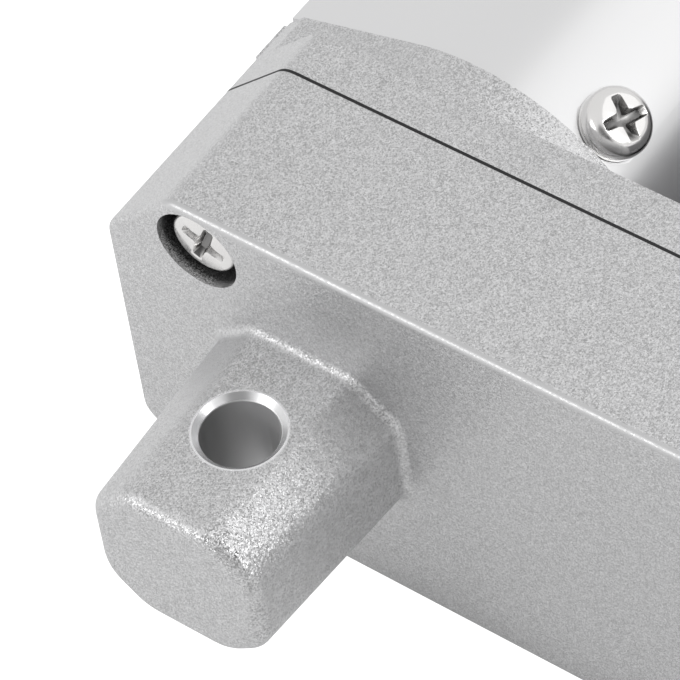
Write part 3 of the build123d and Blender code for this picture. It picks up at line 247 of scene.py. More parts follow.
class Value:
    """A socket that takes part in sums, so a mask reads like arithmetic."""

    def __init__(self, nodes, socket):
        self.nodes = nodes
        self.socket = socket

    def _math(self, operation, *terms):
        return self.nodes.value("ShaderNodeMath", {"operation": operation}, dict(enumerate(terms)))

    def __add__(self, other):
        return self._math("ADD", self, other)

    def __radd__(self, other):
        return self._math("ADD", other, self)

    def __sub__(self, other):
        return self._math("SUBTRACT", self, other)

    def __rsub__(self, other):
        return self._math("SUBTRACT", other, self)

    def __mul__(self, other):
        return self._math("MULTIPLY", self, other)

    def __rmul__(self, other):
        return self._math("MULTIPLY", other, self)

    def __truediv__(self, other):
        return self._math("DIVIDE", self, other)

    def __pow__(self, other):
        return self._math("POWER", self, other)

    def __abs__(self):
        return self._math("ABSOLUTE", self)

    def zigzag(self, top):
        """Goes up to a top and back down to 0, again and again, while this value grows."""
        return self._math("PINGPONG", self, top)

    def swing(self, amount):
        """A random share from 0 to 1 turned into a swing to both sides of 0."""
        return (self - 0.5) * amount

    def fade(self, start, end, low=0.0, high=1.0):
        """Goes smoothly from low to high while this value goes from start to end."""
        inputs = dict(enumerate((self, start, end, low, high)))
        settings = {"interpolation_type": "SMOOTHSTEP"}
        return self.nodes.value("ShaderNodeMapRange", settings, inputs)

    def span(self, ends, low=0.0, high=1.0):
        """A fade between the two ends of a pair in millimetres."""
        start, end = ends
        return self.fade(start * MM, end * MM, low, high)


class Nodes:
    """A node tree and the nodes that are put into it."""

    def __init__(self, tree):
        self.tree = tree

    def node(self, kind, settings, inputs):
        """Any node: its type, its settings, set first, and the values or links of its sockets."""
        made = self.tree.nodes.new(kind)
        for name, value in settings.items():
            setattr(made, name, value)
        for key, value in inputs.items():
            if isinstance(value, Value):
                self.tree.links.new(value.socket, made.inputs[key])
            else:
                made.inputs[key].default_value = value
        return made

    def value(self, kind, settings, inputs, output=0):
        """One output of a new node."""
        return Value(self, self.node(kind, settings, inputs).outputs[output])


class ShaderNodes(Nodes):
    """A shader's node tree, with the place that its patterns read."""

    def __init__(self, tree, coordinates):
        super().__init__(tree)
        self.place = self.value("ShaderNodeTexCoord", {}, {}, coordinates)

    def vector(self, operation, inputs, output="Vector"):
        """Vector maths on the values or links of its sockets."""
        return self.value("ShaderNodeVectorMath", {"operation": operation}, inputs, output)

    def along(self, vector, direction):
        """How far a vector runs along a direction."""
        return self.vector("DOT_PRODUCT", {0: vector, 1: direction}, "Value")


class Recipe(ShaderNodes):
    """One material, with a Principled shader ready to be fed."""

    # The Mix node's sockets for colours. It has others by the same names.
    MIX_COLOURS = (6, 7)
    MIX_RESULT = 2

    def __init__(self, name, colour, metallic, roughness):
        self.material = bpy.data.materials.new(name)
        self.material.use_nodes = True
        super().__init__(self.material.node_tree, "Object")
        self.shader = self.tree.nodes["Principled BSDF"]
        self.shader.inputs["Base Color"].default_value = (*colour, 1.0)
        self.shader.inputs["Metallic"].default_value = metallic
        self.shader.inputs["Roughness"].default_value = roughness
        self.material.diffuse_color = (*colour, 1.0)

    def axes(self):
        """The place on the piece in metres, as X, Y and Z."""
        split = self.node("ShaderNodeSeparateXYZ", {}, {0: self.place})
        return [Value(self, output) for output in split.outputs]

    def normal(self):
        """The surface's own normal."""
        return self.value("ShaderNodeNewGeometry", {}, {}, "Normal")

    def stretched(self, scales):
        """The place with each axis scaled, for grain that runs one way."""
        return self.vector("MULTIPLY", {0: self.place, 1: scales})

    def noise(self, scale, detail=2.0, place=None):
        """Soft random clouds from 0 to 1."""
        inputs = {"Vector": place or self.place, "Scale": scale, "Detail": detail}
        return self.value("ShaderNodeTexNoise", {}, inputs)

    def cells(self, scale):
        """A grain of random cells: the random colour of each, and its first channel."""
        inputs = {"Vector": self.place, "Scale": scale}
        colour = self.value("ShaderNodeTexVoronoi", {}, inputs, "Color")
        return colour, self.value("ShaderNodeSeparateColor", {}, {0: colour})

    def blend(self, factor, first, second):
        """A colour between two colours."""
        inputs = {0: factor}
        for key, shade in zip(self.MIX_COLOURS, (first, second)):
            inputs[key] = shade if isinstance(shade, Value) else (*shade, 1.0)
        return self.value("ShaderNodeMix", {"data_type": "RGBA"}, inputs, self.MIX_RESULT)

    def tone(self, colour):
        """A plain colour as a value."""
        return self.blend(0.0, colour, colour)

    def shaded(self, colour, amount):
        """A colour made lighter or darker by a varying amount near 1."""
        return self.vector("SCALE", {0: colour, "Scale": amount})

    def tilted(self, random_colour, amount):
        """The surface's normal leaned at random, flake by flake."""
        centred = self.vector("SUBTRACT", {0: random_colour, 1: (0.5, 0.5, 0.5)})
        lean = self.vector("SCALE", {0: centred, "Scale": amount})
        leaned = self.vector("ADD", {0: self.normal(), 1: lean})
        return self.vector("NORMALIZE", {0: leaned})

    def bump(self, height, depth, normal=None):
        """A normal that follows a height from 0 to 1, which stands for a depth in millimetres."""
        inputs = {"Height": height, "Distance": depth * MM}
        if normal is not None:
            inputs["Normal"] = normal
        return self.value("ShaderNodeBump", {}, inputs)

    def feed(self, **sockets):
        """Links varying values to the shader."""
        for name, value in sockets.items():
            self.tree.links.new(value.socket, self.shader.inputs[name.replace("_", " ").title()])
        return self.material


def distance(first, second):
    """How far a place lies from an axis, given how far it lies along the other two."""
    return (first * first + second * second) ** 0.5


# Finishes


def sparkle_coat(look):
    """Silver enamel with metal flakes on the castings, cut to bare metal in the mounting hole.

    Painted shade darkens the counterbore walls and the hole's bore, with painted shading across
    the bore.
    """
    recipe = Recipe("sparkle_coat", look.coat_colour, 0.9, 0.4)
    x, y, z = recipe.axes()
    fine, fine_pick = recipe.cells(1.0 / look.flake_size)
    _, coarse_pick = recipe.cells(0.6 / look.flake_size)
    from_hole = distance(x, y)
    cut = from_hole.span(HOLE_CUT)
    deep = from_hole.span(HOLE_BORE)
    coated = 1.0 - cut
    worn = worn_edge(x, z)
    flaked = spray_share(recipe) * (1.0 - worn) * x.span(TONGUE_X, 1.0, 1.15)
    grain = (fine_pick.swing(0.62) + coarse_pick.swing(0.18)) * flaked
    # The coat's grain, darkened on the counterbore walls as painted shade.
    grain_and_painted_shade = (1.0 + grain) * (1.0 - 0.72 * painted_counterbore_shade(x, y, z))
    coat = recipe.shaded(recipe.tone(look.coat_colour), grain_and_painted_shade)
    # The bore's wall: its dark colour is painted shade for the hole's depth, and it gets lighter
    # one way across the hole as painted shading.
    painted_bore_shading = (x * BORE_LIGHT[0] + y * BORE_LIGHT[1]).span(BORE_LIGHT_ENDS, 0.8, 3.2)
    wall = recipe.shaded(recipe.tone(look.bore_painted_shade_colour), painted_bore_shading)
    colour = recipe.blend(cut, coat, recipe.blend(deep, look.cut_colour, wall))
    coat_roughness = 0.42 + worn * 0.04 + coarse_pick.swing(0.16)
    coat_metallic = 0.88 + fine_pick.swing(0.2)
    roughness = coat_roughness * coated + cut * (0.26 + deep * 0.2)
    metallic = coat_metallic * coated + cut * (0.7 + deep * 0.02)
    leaned = recipe.tilted(fine, coated * flaked * look.flake_lean)
    normal = recipe.bump(recipe.noise(1500.0) * coated, 0.005, leaned)
    return recipe.feed(base_color=colour, metallic=metallic, roughness=roughness, normal=normal)


def spray_share(recipe):
    """How many flakes stand up: most on the faces that were sprayed head on."""
    return recipe.along(recipe.normal(), SPRAY_DIRECTION).fade(-0.2, 0.95, 0.45, 1.15)


def worn_edge(x, z):
    """1 along the rear rim of the housing, where handling has smoothed the enamel."""
    return abs(z).span(RIM_Z) * x.span(RIM_X)


def painted_counterbore_shade(x, y, z):
    """1 on the walls of the four counterbores, where the coat is darkened as painted shade."""
    across = abs(y - MIDDLE_Y * MM) - COUNTERBORE_Y * MM
    along = abs(z) - COUNTERBORE_Z * MM
    wall = distance(across, along).span(COUNTERBORE_WALL)
    return wall * x.span(COUNTERBORE_MOUTH_X) * x.span(COUNTERBORE_FLOOR_X)


def satin_tube(name, shade):
    """Fine satin lacquer over drawn aluminium."""
    recipe = Recipe(name, shade, 0.95, 0.3)
    cloud = recipe.noise(60.0)
    drawn = recipe.noise(900.0, place=recipe.stretched((0.02, 1.0, 1.0)))
    colour = recipe.shaded(recipe.tone(shade), 1.0 + cloud.swing(0.03))
    roughness = 0.3 + drawn.swing(0.05)
    normal = recipe.bump(drawn, 0.0008)
    return recipe.feed(base_color=colour, roughness=roughness, normal=normal)


def nickel_plate(look):
    """Bright nickel on the screws, with small stamping marks; rougher in the cross, and darkened
    there as painted shade.
    """
    recipe = Recipe("nickel_plate", look.screw_colour, 1.0, 0.16)
    marks = recipe.noise(700.0, 3.0)
    stain = recipe.noise(260.0)
    pressed = recipe.value("ShaderNodeAttribute", {"attribute_name": "pressed"}, {}, "Fac")
    # Random stains, and painted shade that darkens the cross the deeper it lies.
    shade = (1.0 + stain.swing(0.14)) * (1.0 - pressed * 0.72)
    colour = recipe.shaded(recipe.tone(look.screw_colour), shade)
    roughness = marks.fade(0.35, 0.75, 0.12, 0.3) + pressed * 0.12
    normal = recipe.bump(marks, 0.012)
    return recipe.feed(base_color=colour, roughness=roughness, normal=normal)


def plain_metal(name, colour, roughness, grain, scale, depth):
    """A machined metal: tone and roughness vary, and fine tool marks run along the grain."""
    recipe = Recipe(name, colour, 1.0, roughness)
    marks = recipe.noise(scale, place=recipe.stretched(grain))
    cloud = recipe.noise(180.0, 3.0)
    shade = recipe.shaded(recipe.tone(colour), 1.0 + cloud.swing(0.16) + marks.swing(0.08))
    rough = roughness + cloud.swing(0.12) + marks.swing(0.06)
    return recipe.feed(base_color=shade, roughness=rough, normal=recipe.bump(marks, depth))


def plain_mould(name, colour, roughness, scale, depth, speckle):
    """A moulded or pressed material: a little uneven in tone, with a fine skin."""
    recipe = Recipe(name, colour, 0.0, roughness)
    skin = recipe.noise(scale, 3.0)
    cloud = recipe.noise(120.0)
    shade = recipe.shaded(recipe.tone(colour), 1.0 + cloud.swing(0.2) + skin.swing(speckle))
    rough = roughness + skin.swing(0.14)
    return recipe.feed(base_color=shade, roughness=rough, normal=recipe.bump(skin, depth))


def core_laminations(colour, pitch):
    """Steel sheets side by side along X, with a dark line between each two."""
    recipe = Recipe("core_laminations", colour, 1.0, 0.4)
    x, _, _ = recipe.axes()
    half = pitch / 2 * MM
    sheet = (x.zigzag(half) / half).fade(0.0, 0.35)
    cloud = recipe.noise(240.0)
    shade = (0.35 + 0.65 * sheet) * (1.0 + cloud.swing(0.2))
    rough = 0.4 + cloud.swing(0.12)
    return recipe.feed(
        base_color=recipe.shaded(recipe.tone(colour), shade),
        roughness=rough,
        normal=recipe.bump(sheet, 0.01),
    )


def commutator_bars(colour, count):
    """Turned copper bars round the motor's axis, with a dark slot between each two."""
    recipe = Recipe("commutator_bars", colour, 1.0, 0.3)
    _, y, z = recipe.axes()
    turn = recipe.value("ShaderNodeMath", {"operation": "ARCTAN2"}, {0: z, 1: y - MOTOR_Y * MM})
    bar = turn.zigzag(math.pi / count).fade(0.03, 0.06)
    marks = recipe.noise(1500.0, place=recipe.stretched((3.0, 0.3, 0.3)))
    shade = (0.12 + 0.88 * bar) * (1.0 + marks.swing(0.2))
    rough = 0.3 + marks.swing(0.12)
    return recipe.feed(
        base_color=recipe.shaded(recipe.tone(colour), shade),
        roughness=rough,
        normal=recipe.bump(bar, 0.05),
    )


def all_finishes(look):
    """Every finish by name."""
    made = {
        "sparkle_coat": sparkle_coat(look),
        "satin_tube": satin_tube("satin_tube", look.tube_colour),
        "graphite_cover": satin_tube("graphite_cover", look.cover_colour),
        "nickel_plate": nickel_plate(look),
        "core_laminations": core_laminations((0.38, 0.38, 0.39), 0.5),
        "commutator_bars": commutator_bars((0.72, 0.36, 0.2), 10),
    }
    made.update({name: plain_metal(name, *facts) for name, facts in METALS.items()})
    made.update({name: plain_mould(name, *facts) for name, facts in MOULDS.items()})
    return made


def floor_paper(studio):
    """Matt paper, evenly bright to the eye, whose glow on the object fades out under it as a
    painted shadow.
    """
    recipe = Recipe("floor_paper", studio.floor_colour, 0.0, 0.9)
    recipe.shader.inputs["Emission Strength"].default_value = studio.floor_glow
    x, y, _ = recipe.axes()
    seen = recipe.value("ShaderNodeLightPath", {}, {}, "Is Camera Ray")
    # A painted shadow: the glow fades out under the object, where it would shade the floor.
    under = x.span((3, 14)) * y.span((-80, -40)) * y.span((34, 4))
    glow = y.span((-70, 90), 0.8, 1.5) * (1.0 - 0.95 * under)
    glow = glow * (1.0 - seen) + seen * 3.0
    grain = recipe.noise(40.0, 3.0)
    return recipe.feed(
        base_color=recipe.shaded(recipe.tone(studio.floor_colour), 1.0 + grain.swing(0.02)),
        emission_color=recipe.shaded(recipe.tone((1.0, 1.0, 1.0)), glow),
    )


# Mesh building


def ring_point(radius, angle, height):
    """The point at a radius and an angle round the Z axis."""
    return (radius * math.cos(angle), radius * math.sin(angle), height)


def turned(profile, sides):
    """A closed body turned about +Z from (radius, height) points, from the axis to the axis."""
    mesh = bmesh.new()
    angles = [2 * math.pi * n / sides for n in range(sides)]
    rings = []
    for radius, height in profile:
        around = angles if radius else angles[:1]
        rings.append([mesh.verts.new(ring_point(radius, angle, height)) for angle in around])
    for low, high in zip(rings, rings[1:]):
        for n in range(sides):
            m = n + 1
            lower = (low[n % len(low)], low[m % len(low)])
            upper = (high[m % len(high)], high[n % len(high)])
            mesh.faces.new(list(dict.fromkeys(lower + upper)))
    bmesh.ops.recalc_face_normals(mesh, faces=mesh.faces)
    return mesh


def show(name, data):
    """Puts a mesh, curve, lamp or camera into the scene as an object."""
    made = bpy.data.objects.new(name, data)
    bpy.context.scene.collection.objects.link(made)
    return made


def from_bmesh(name, mesh):
    """An object made from a bmesh, in the scene."""
    data = bpy.data.meshes.new(name)
    mesh.to_mesh(data)
    mesh.free()
    return show(name, data)


def baked(source, name):
    """A plain mesh object with the modifiers of another applied, which is then removed."""
    bpy.context.view_layer.update()
    depsgraph = bpy.context.evaluated_depsgraph_get()
    data = bpy.data.meshes.new_from_object(source.evaluated_get(depsgraph))
    data.name = name
    bpy.data.objects.remove(source)
    return show(name, data)


def cut_away(piece, cutter, name):
    """Gives a piece the modifier that takes a cutter's shape out of it."""
    cut = piece.modifiers.new(name, "BOOLEAN")
    cut.operation = "DIFFERENCE"
    cut.solver = "EXACT"
    cut.object = cutter


def shade_by_angle(piece, degrees):
    """Smooth shading with the edges sharper than an angle kept."""
    for face in piece.data.polygons:
        face.use_smooth = True
    piece.data.set_sharp_from_angle(angle=math.radians(degrees))


def give_finish(piece, finish):
    """Gives a piece one finish all over."""
    piece.data.materials.clear()
    piece.data.materials.append(finish)


def recess_cutter(size):
    """The tool that presses the cross: four tapered wings with rounded roots and a deep middle."""
    mesh = bmesh.new()
    reach = size.recess_reach
    half = size.recess_wing / 2
    wing_end = (reach * 0.9, half * 0.72)
    root_end = half + size.recess_root
    root_middle = half + size.recess_root * 0.3
    wing = (
        (wing_end[0], -half),
        (reach, -wing_end[1]),
        (reach, wing_end[1]),
        (wing_end[0], half),
        (root_end, half),
        (root_middle, root_middle),
    )
    outline = []
    for quarter in range(4):
        turn = Matrix.Rotation(quarter * math.pi / 2, 2)
        outline += [turn @ Vector(point) for point in wing]
    top = size.head_height + 0.2 * MM
    floor = size.head_height - size.recess_depth
    taper_x, taper_y, floor_rise, tip_depth = 0.62, 0.82, 0.5 * MM, 0.25 * MM
    upper = [mesh.verts.new((p.x, p.y, top)) for p in outline]
    lower = []
    for p in outline:
        far = p.length / reach
        height = floor + floor_rise * far * far
        lower.append(mesh.verts.new((p.x * taper_x, p.y * taper_y, height)))
    pairs = [(n, (n + 1) % len(outline)) for n in range(len(outline))]
    for n, m in pairs:
        mesh.faces.new((upper[n], lower[n], lower[m], upper[m]))
    mesh.faces.new(upper)
    tip = mesh.verts.new((0, 0, floor - tip_depth))
    for n, m in pairs:
        mesh.faces.new((lower[n], tip, lower[m]))
    bmesh.ops.recalc_face_normals(mesh, faces=mesh.faces)
    return mesh


def pan_head(size, crown):
    """A pan head over the origin, before its cross is cut."""
    rim = size.head_diameter / 2
    tall = size.head_height
    edge = HEAD_EDGE * MM
    flat = rim - crown
    profile = [(0, 0), (rim - edge, 0), (rim, edge), (rim, tall - crown)]
    for n in range(1, CROWN_STEPS + 1):
        angle = n / CROWN_STEPS * math.pi / 2
        profile.append((flat + crown * math.cos(angle), tall - crown + crown * math.sin(angle)))
    profile += [(flat * 0.5, tall + CROWN_DOME[0] * MM), (0, tall + CROWN_DOME[1] * MM)]
    return from_bmesh("screw_head", turned(profile, HEAD_SIDES))


def mark_pressed(head, size, crown):
    """Marks each point of a head by how deep it lies in the cross, from 0 to 1 at full depth."""
    tall = size.head_height
    flat = size.head_diameter / 2 - crown
    edge, full_depth = 0.12 * MM, 0.5 * MM
    lowest = 0.2 * tall
    pressed = head.data.attributes.new("pressed", "FLOAT", "POINT")
    for point, vertex in zip(pressed.data, head.data.vertices):
        out, height = vertex.co.xy.length, vertex.co.z
        past_flat = max(0.0, out - flat)
        skin = tall - crown + math.sqrt(max(0.0, crown**2 - past_flat**2))
        in_cross = out < size.recess_reach + 0.1 * MM and skin - height > edge
        depth = (tall - edge - height) / full_depth
        point.value = min(1.0, max(0.0, depth)) if in_cross and height > lowest else 0.0


def pan_screw(size, length, crown):
    """One screw along +Z, its seat at the origin: pan head, cross recess and threaded shank."""
    head = pan_head(size, crown)
    cutter = from_bmesh("recess_cutter", recess_cutter(size))
    cut_away(head, cutter, "cross")
    bevel = head.modifiers.new("soft_edges", "BEVEL")
    bevel.width = 0.07 * MM
    bevel.segments = 2
    bevel.limit_method = "ANGLE"
    bevel.angle_limit = math.radians(35)
    made = baked(head, "screw_head")
    bpy.data.objects.remove(cutter)
    mark_pressed(made, size, crown)
    shank = bmesh.new()
    shank.from_mesh(made.data)
    radius, end = size.shank_diameter / 2, SHANK_OVERLAP * MM
    thread(shank, radius, size.thread_pitch, size.thread_depth, -length, end)
    shank.to_mesh(made.data)
    shank.free()
    return made


def thread(mesh, radius, pitch, depth, start, end, sides=20, steps=6, flat=0.1, nose=0.0):
    """Adds a closed threaded rod along Z.

    steps is how many rings make a pitch, flat the crest's share of it, and nose the end's chamfer.
    """
    first_depth = 0.35
    count = max(4, round((end - start) / pitch * steps))
    rings = []
    for i in range(count + 1):
        height = start + (end - start) * i / count
        fade = min(1.0, (end - height) / pitch, (height - start) / pitch + first_depth)
        ring = []
        for n in range(sides):
            turn = (height / pitch - n / sides) % 1.0
            rise = abs(2 * turn - 1)
            rise = min(1.0, max(0.0, (rise - flat) / (1 - 2 * flat)))
            reach = radius - depth * (1 - rise) * max(0.0, fade)
            reach = min(reach, radius - max(0.0, nose - (end - height)))
            ring.append(mesh.verts.new(ring_point(reach, 2 * math.pi * n / sides, height)))
        rings.append(ring)
    for low, high in zip(rings, rings[1:]):
        for n in range(sides):
            m = (n + 1) % sides
            mesh.faces.new((low[n], low[m], high[m], high[n]))
    mesh.faces.new(list(reversed(rings[0])))
    mesh.faces.new(rings[-1])


def along_x(mesh):
    """Turns a body that was made along +Z so that it runs along +X."""
    turn = Matrix(((0, 0, 1, 0), (1, 0, 0, 0), (0, 1, 0, 0), (0, 0, 0, 1)))
    bmesh.ops.transform(mesh, matrix=turn, verts=mesh.verts)


def lead_screw_shaft(size):
    """The lead screw's plain end: journal, shaft with its ring groove, and keyway."""
    journal, shaft = size.journal_radius, size.shaft_radius
    groove = shaft - size.groove_depth
    rear, step, front = JOURNAL_X * MM, SHAFT_X * MM, (THREAD_X + SHAFT_OVERLAP) * MM
    groove_rear, groove_front = (x * MM for x in RING_GROOVE)
    journal_chamfer, shaft_chamfer = JOURNAL_CHAMFER * MM, SHAFT_CHAMFER * MM
    profile = [(0, rear), (journal - journal_chamfer, rear), (journal, rear + journal_chamfer)]
    profile += [(journal, step), (shaft - shaft_chamfer, step), (shaft, step + shaft_chamfer)]
    profile += [(shaft, groove_rear), (groove, groove_rear)]
    profile += [(groove, groove_front), (shaft, groove_front), (shaft, front), (0, front)]
    shape = turned(profile, 64)
    along_x(shape)
    made = from_bmesh("lead_screw_shaft", shape)
    slot = bmesh.new()
    bmesh.ops.create_cube(slot, size=1.0)
    length = (KEYWAY[1] - KEYWAY[0]) * MM
    bmesh.ops.scale(slot, verts=slot.verts, vec=(length, size.key_width, size.key_width))
    middle = (KEYWAY[0] * MM + length / 2, 0, shaft - size.key_sunk + size.key_width / 2)
    bmesh.ops.translate(slot, verts=slot.verts, vec=middle)
    cutter = from_bmesh("keyway_cutter", slot)
    cut_away(made, cutter, "keyway")
    made = baked(made, "lead_screw_shaft")
    bpy.data.objects.remove(cutter)
    return made


def wire_turn(radius, bulge, lean):
    """The points of one turn of wire: across the core's front end, and back across its rear."""
    half = (CORE_X[1] - CORE_X[0]) / 2 * MM
    sweep = 2 * math.pi * COIL_SLOTS / COIL_COUNT
    points = []
    for side in (1, -1):
        for step in range(ARCH_STEPS + 1):
            share = step / ARCH_STEPS
            arch = math.sin(math.pi * share)
            angle = lean + (sweep - 2 * lean) * share
            angle = angle if side == 1 else sweep - angle
            reach = radius - (radius - TURN_INNER * MM) * 0.35 * arch
            height = side * (half + TURN_LIFT * MM + bulge * arch**0.6)
            points.append(ring_point(reach, angle, height))
    return points


def coil(size):
    """One coil of the armature: wire from slot to slot and round both ends of the core."""
    curve = bpy.data.curves.new("coil", "CURVE")
    curve.dimensions = "3D"
    curve.bevel_depth = size.wire_radius
    curve.bevel_resolution = 1
    for turn in range(size.coil_turns):
        share = turn / (size.coil_turns - 1)
        radius = (TURN_RADIUS[0] + TURN_RADIUS[1] * share) * MM
        bulge = (TURN_BULGE[0] + TURN_BULGE[1] * (1 - share)) * MM
        lean = TURN_LEAN * MM * (1 if turn % 2 else 0.35) / radius
        points = wire_turn(radius, bulge, lean)
        spline = curve.splines.new("POLY")
        spline.points.add(len(points) - 1)
        spline.points.foreach_set("co", [value for point in points for value in (*point, 1.0)])
        spline.use_cyclic_u = True
    return baked(show("coil", curve), "coil")


# Geometry Nodes for what repeats


def seat_tree():
    """Sets one piece on every point, turned to the point's own direction and roll."""
    tree = bpy.data.node_groups.new("pieces_on_seats", "GeometryNodeTree")
    for name, kind in (
        ("Seats", "NodeSocketGeometry"),
        ("Piece", "NodeSocketObject"),
        ("Size", "NodeSocketFloat"),
        ("Finish", "NodeSocketMaterial"),
    ):
        tree.interface.new_socket(name, in_out="INPUT", socket_type=kind)
    tree.interface.new_socket("Pieces", in_out="OUTPUT", socket_type="NodeSocketGeometry")
    nodes = Nodes(tree)
    given = nodes.node("NodeGroupInput", {}, {}).outputs
    seats, piece, size, finish = [Value(nodes, output) for output in given[:4]]
    shape = nodes.value("GeometryNodeObjectInfo", {}, {"Object": piece}, "Geometry")
    own = "GeometryNodeInputNamedAttribute"
    facing = nodes.value(own, {"data_type": "FLOAT_VECTOR"}, {"Name": "facing"}, "Attribute")
    roll = nodes.value(own, {"data_type": "FLOAT"}, {"Name": "roll"}, "Attribute")
    inputs = {"Axis": (0, 0, 1), "Angle": roll}
    rolled = nodes.value("FunctionNodeAxisAngleToRotation", {}, inputs, "Rotation")
    inputs = {"Vector": facing}
    aimed = nodes.value("FunctionNodeAlignRotationToVector", {"axis": "Z"}, inputs, "Rotation")
    settings = {"rotation_space": "LOCAL"}
    inputs = {"Rotation": aimed, "Rotate By": rolled}
    both = nodes.value("FunctionNodeRotateRotation", settings, inputs, "Rotation")
    inputs = {"Points": seats, "Instance": shape, "Rotation": both, "Scale": size}
    placed = nodes.value("GeometryNodeInstanceOnPoints", {}, inputs, "Instances")
    realized = nodes.value("GeometryNodeRealizeInstances", {}, {"Geometry": placed}, "Geometry")
    inputs = {"Geometry": realized, "Material": finish}
    finished = nodes.value("GeometryNodeSetMaterial", {}, inputs, "Geometry")
    nodes.node("NodeGroupOutput", {}, {"Pieces": finished})
    return tree


def socket_id(tree, name):
    """The identifier of a tree's named input."""
    return next(item.identifier for item in tree.interface.items_tree if item.name == name)


def set_pieces(name, node, body, seats, rolls, piece, finish, tree):
    """Puts a copy of a piece on each seat and has the result stand for the CAD node."""
    mesh = bpy.data.meshes.new(name + "_seats")
    mesh.from_pydata([Vector(place) * MM for place, out in seats], [], [])
    mesh.attributes.new("facing", "FLOAT_VECTOR", "POINT")
    mesh.attributes.new("roll", "FLOAT", "POINT")
    for n, (place, out) in enumerate(seats):
        mesh.attributes["facing"].data[n].vector = out
        mesh.attributes["roll"].data[n].value = math.radians(rolls[n])
    give_finish(piece, finish)
    carrier = show(name + "_seats", mesh)
    modifier = carrier.modifiers.new("pieces", "NODES")
    modifier.node_group = tree
    modifier[socket_id(tree, "Piece")] = piece
    modifier[socket_id(tree, "Size")] = 1.0
    modifier[socket_id(tree, "Finish")] = finish
    made = baked(carrier, name)
    bpy.data.objects.remove(piece)
    shade_by_angle(made, 38)
    stand_for(made, node, body)


def stand_for(piece, node, body):
    """Has a piece ride on a body in place of a CAD node."""
    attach(piece, body)
    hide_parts(node)


# Sizes and colours

# What all colour settings share.
RGB = {"size": 3, "min": 0.0, "max": 1.0}


class ActuatorFinishes(bpy.types.PropertyGroup):
    """Colours and grain of the visible finishes."""

    coat_colour: bpy.props.FloatVectorProperty(
        name="Casting coat",
        description="Colour of the sparkle enamel on the castings",
        subtype="COLOR",
        **RGB,
        default=(0.635, 0.635, 0.64),
    )
    cut_colour: bpy.props.FloatVectorProperty(
        name="Cut metal",
        description="Colour of the bare metal in the mounting hole",
        subtype="COLOR",
        **RGB,
        default=(0.92, 0.92, 0.93),
    )
    # The bore's dark colour is painted shade for the depth of the mounting hole.
    bore_painted_shade_colour: bpy.props.FloatVectorProperty(
        name="Bore",
        description="Colour of the shade-painted wall of the mounting hole",
        subtype="COLOR",
        **RGB,
        default=(0.32, 0.32, 0.322),
    )
    tube_colour: bpy.props.FloatVectorProperty(
        name="Tube lacquer",
        description="Colour of the satin tubes",
        subtype="COLOR",
        **RGB,
        default=(0.85, 0.85, 0.855),
    )
    cover_colour: bpy.props.FloatVectorProperty(
        name="Motor cover lacquer",
        description="Colour of the satin tube over the motor",
        subtype="COLOR",
        **RGB,
        default=(0.2, 0.2, 0.205),
    )
    screw_colour: bpy.props.FloatVectorProperty(
        name="Screw plating",
        description="Colour of the nickel on the screws",
        subtype="COLOR",
        **RGB,
        default=(0.88, 0.87, 0.86),
    )
    flake_size: bpy.props.FloatProperty(
        name="Flake size",
        description="Size of one metal flake in the casting coat",
        subtype="DISTANCE",
        default=0.1 * MM,
        min=0.02 * MM,
    )
    flake_lean: bpy.props.FloatProperty(
        name="Flake lean",
        description="How far the flakes lean from the surface",
        default=0.42,
        min=0.0,
        max=2.0,
    )


class ActuatorScrewSizes(bpy.types.PropertyGroup):
    """Sizes of the pan-head screws."""

    head_diameter: bpy.props.FloatProperty(
        name="Head diameter",
        description="Diameter of the pan head",
        subtype="DISTANCE",
        default=6.0 * MM,
    )
    head_height: bpy.props.FloatProperty(
        name="Head height",
        description="Height of the pan head over its seat",
        subtype="DISTANCE",
        default=2.36 * MM,
    )
    crown_round: bpy.props.FloatProperty(
        name="Crown round",
        description="Radius between the head's side and its top",
        subtype="DISTANCE",
        default=1.4 * MM,
    )
    sunk_round: bpy.props.FloatProperty(
        name="Sunk crown round",
        description="The same radius on the screws sunk into the rear cover",
        subtype="DISTANCE",
        default=0.3 * MM,
    )
    recess_reach: bpy.props.FloatProperty(
        name="Recess reach",
        description="How far a wing of the cross reaches from the middle",
        subtype="DISTANCE",
        default=2.2 * MM,
    )
    recess_wing: bpy.props.FloatProperty(
        name="Recess wing",
        description="Width of a wing of the cross",
        subtype="DISTANCE",
        default=1.0 * MM,
    )
    recess_root: bpy.props.FloatProperty(
        name="Recess root",
        description="Slope between two wings of the cross",
        subtype="DISTANCE",
        default=0.45 * MM,
    )
    recess_depth: bpy.props.FloatProperty(
        name="Recess depth",
        description="Depth of the cross at its middle",
        subtype="DISTANCE",
        default=1.3 * MM,
    )
    shank_diameter: bpy.props.FloatProperty(
        name="Shank diameter",
        description="Outer diameter of the thread",
        subtype="DISTANCE",
        default=2.98 * MM,
    )
    thread_pitch: bpy.props.FloatProperty(
        name="Thread pitch",
        description="Distance between two turns of the thread",
        subtype="DISTANCE",
        default=0.5 * MM,
    )
    thread_depth: bpy.props.FloatProperty(
        name="Thread depth",
        description="Depth of the thread",
        subtype="DISTANCE",
        default=0.27 * MM,
    )


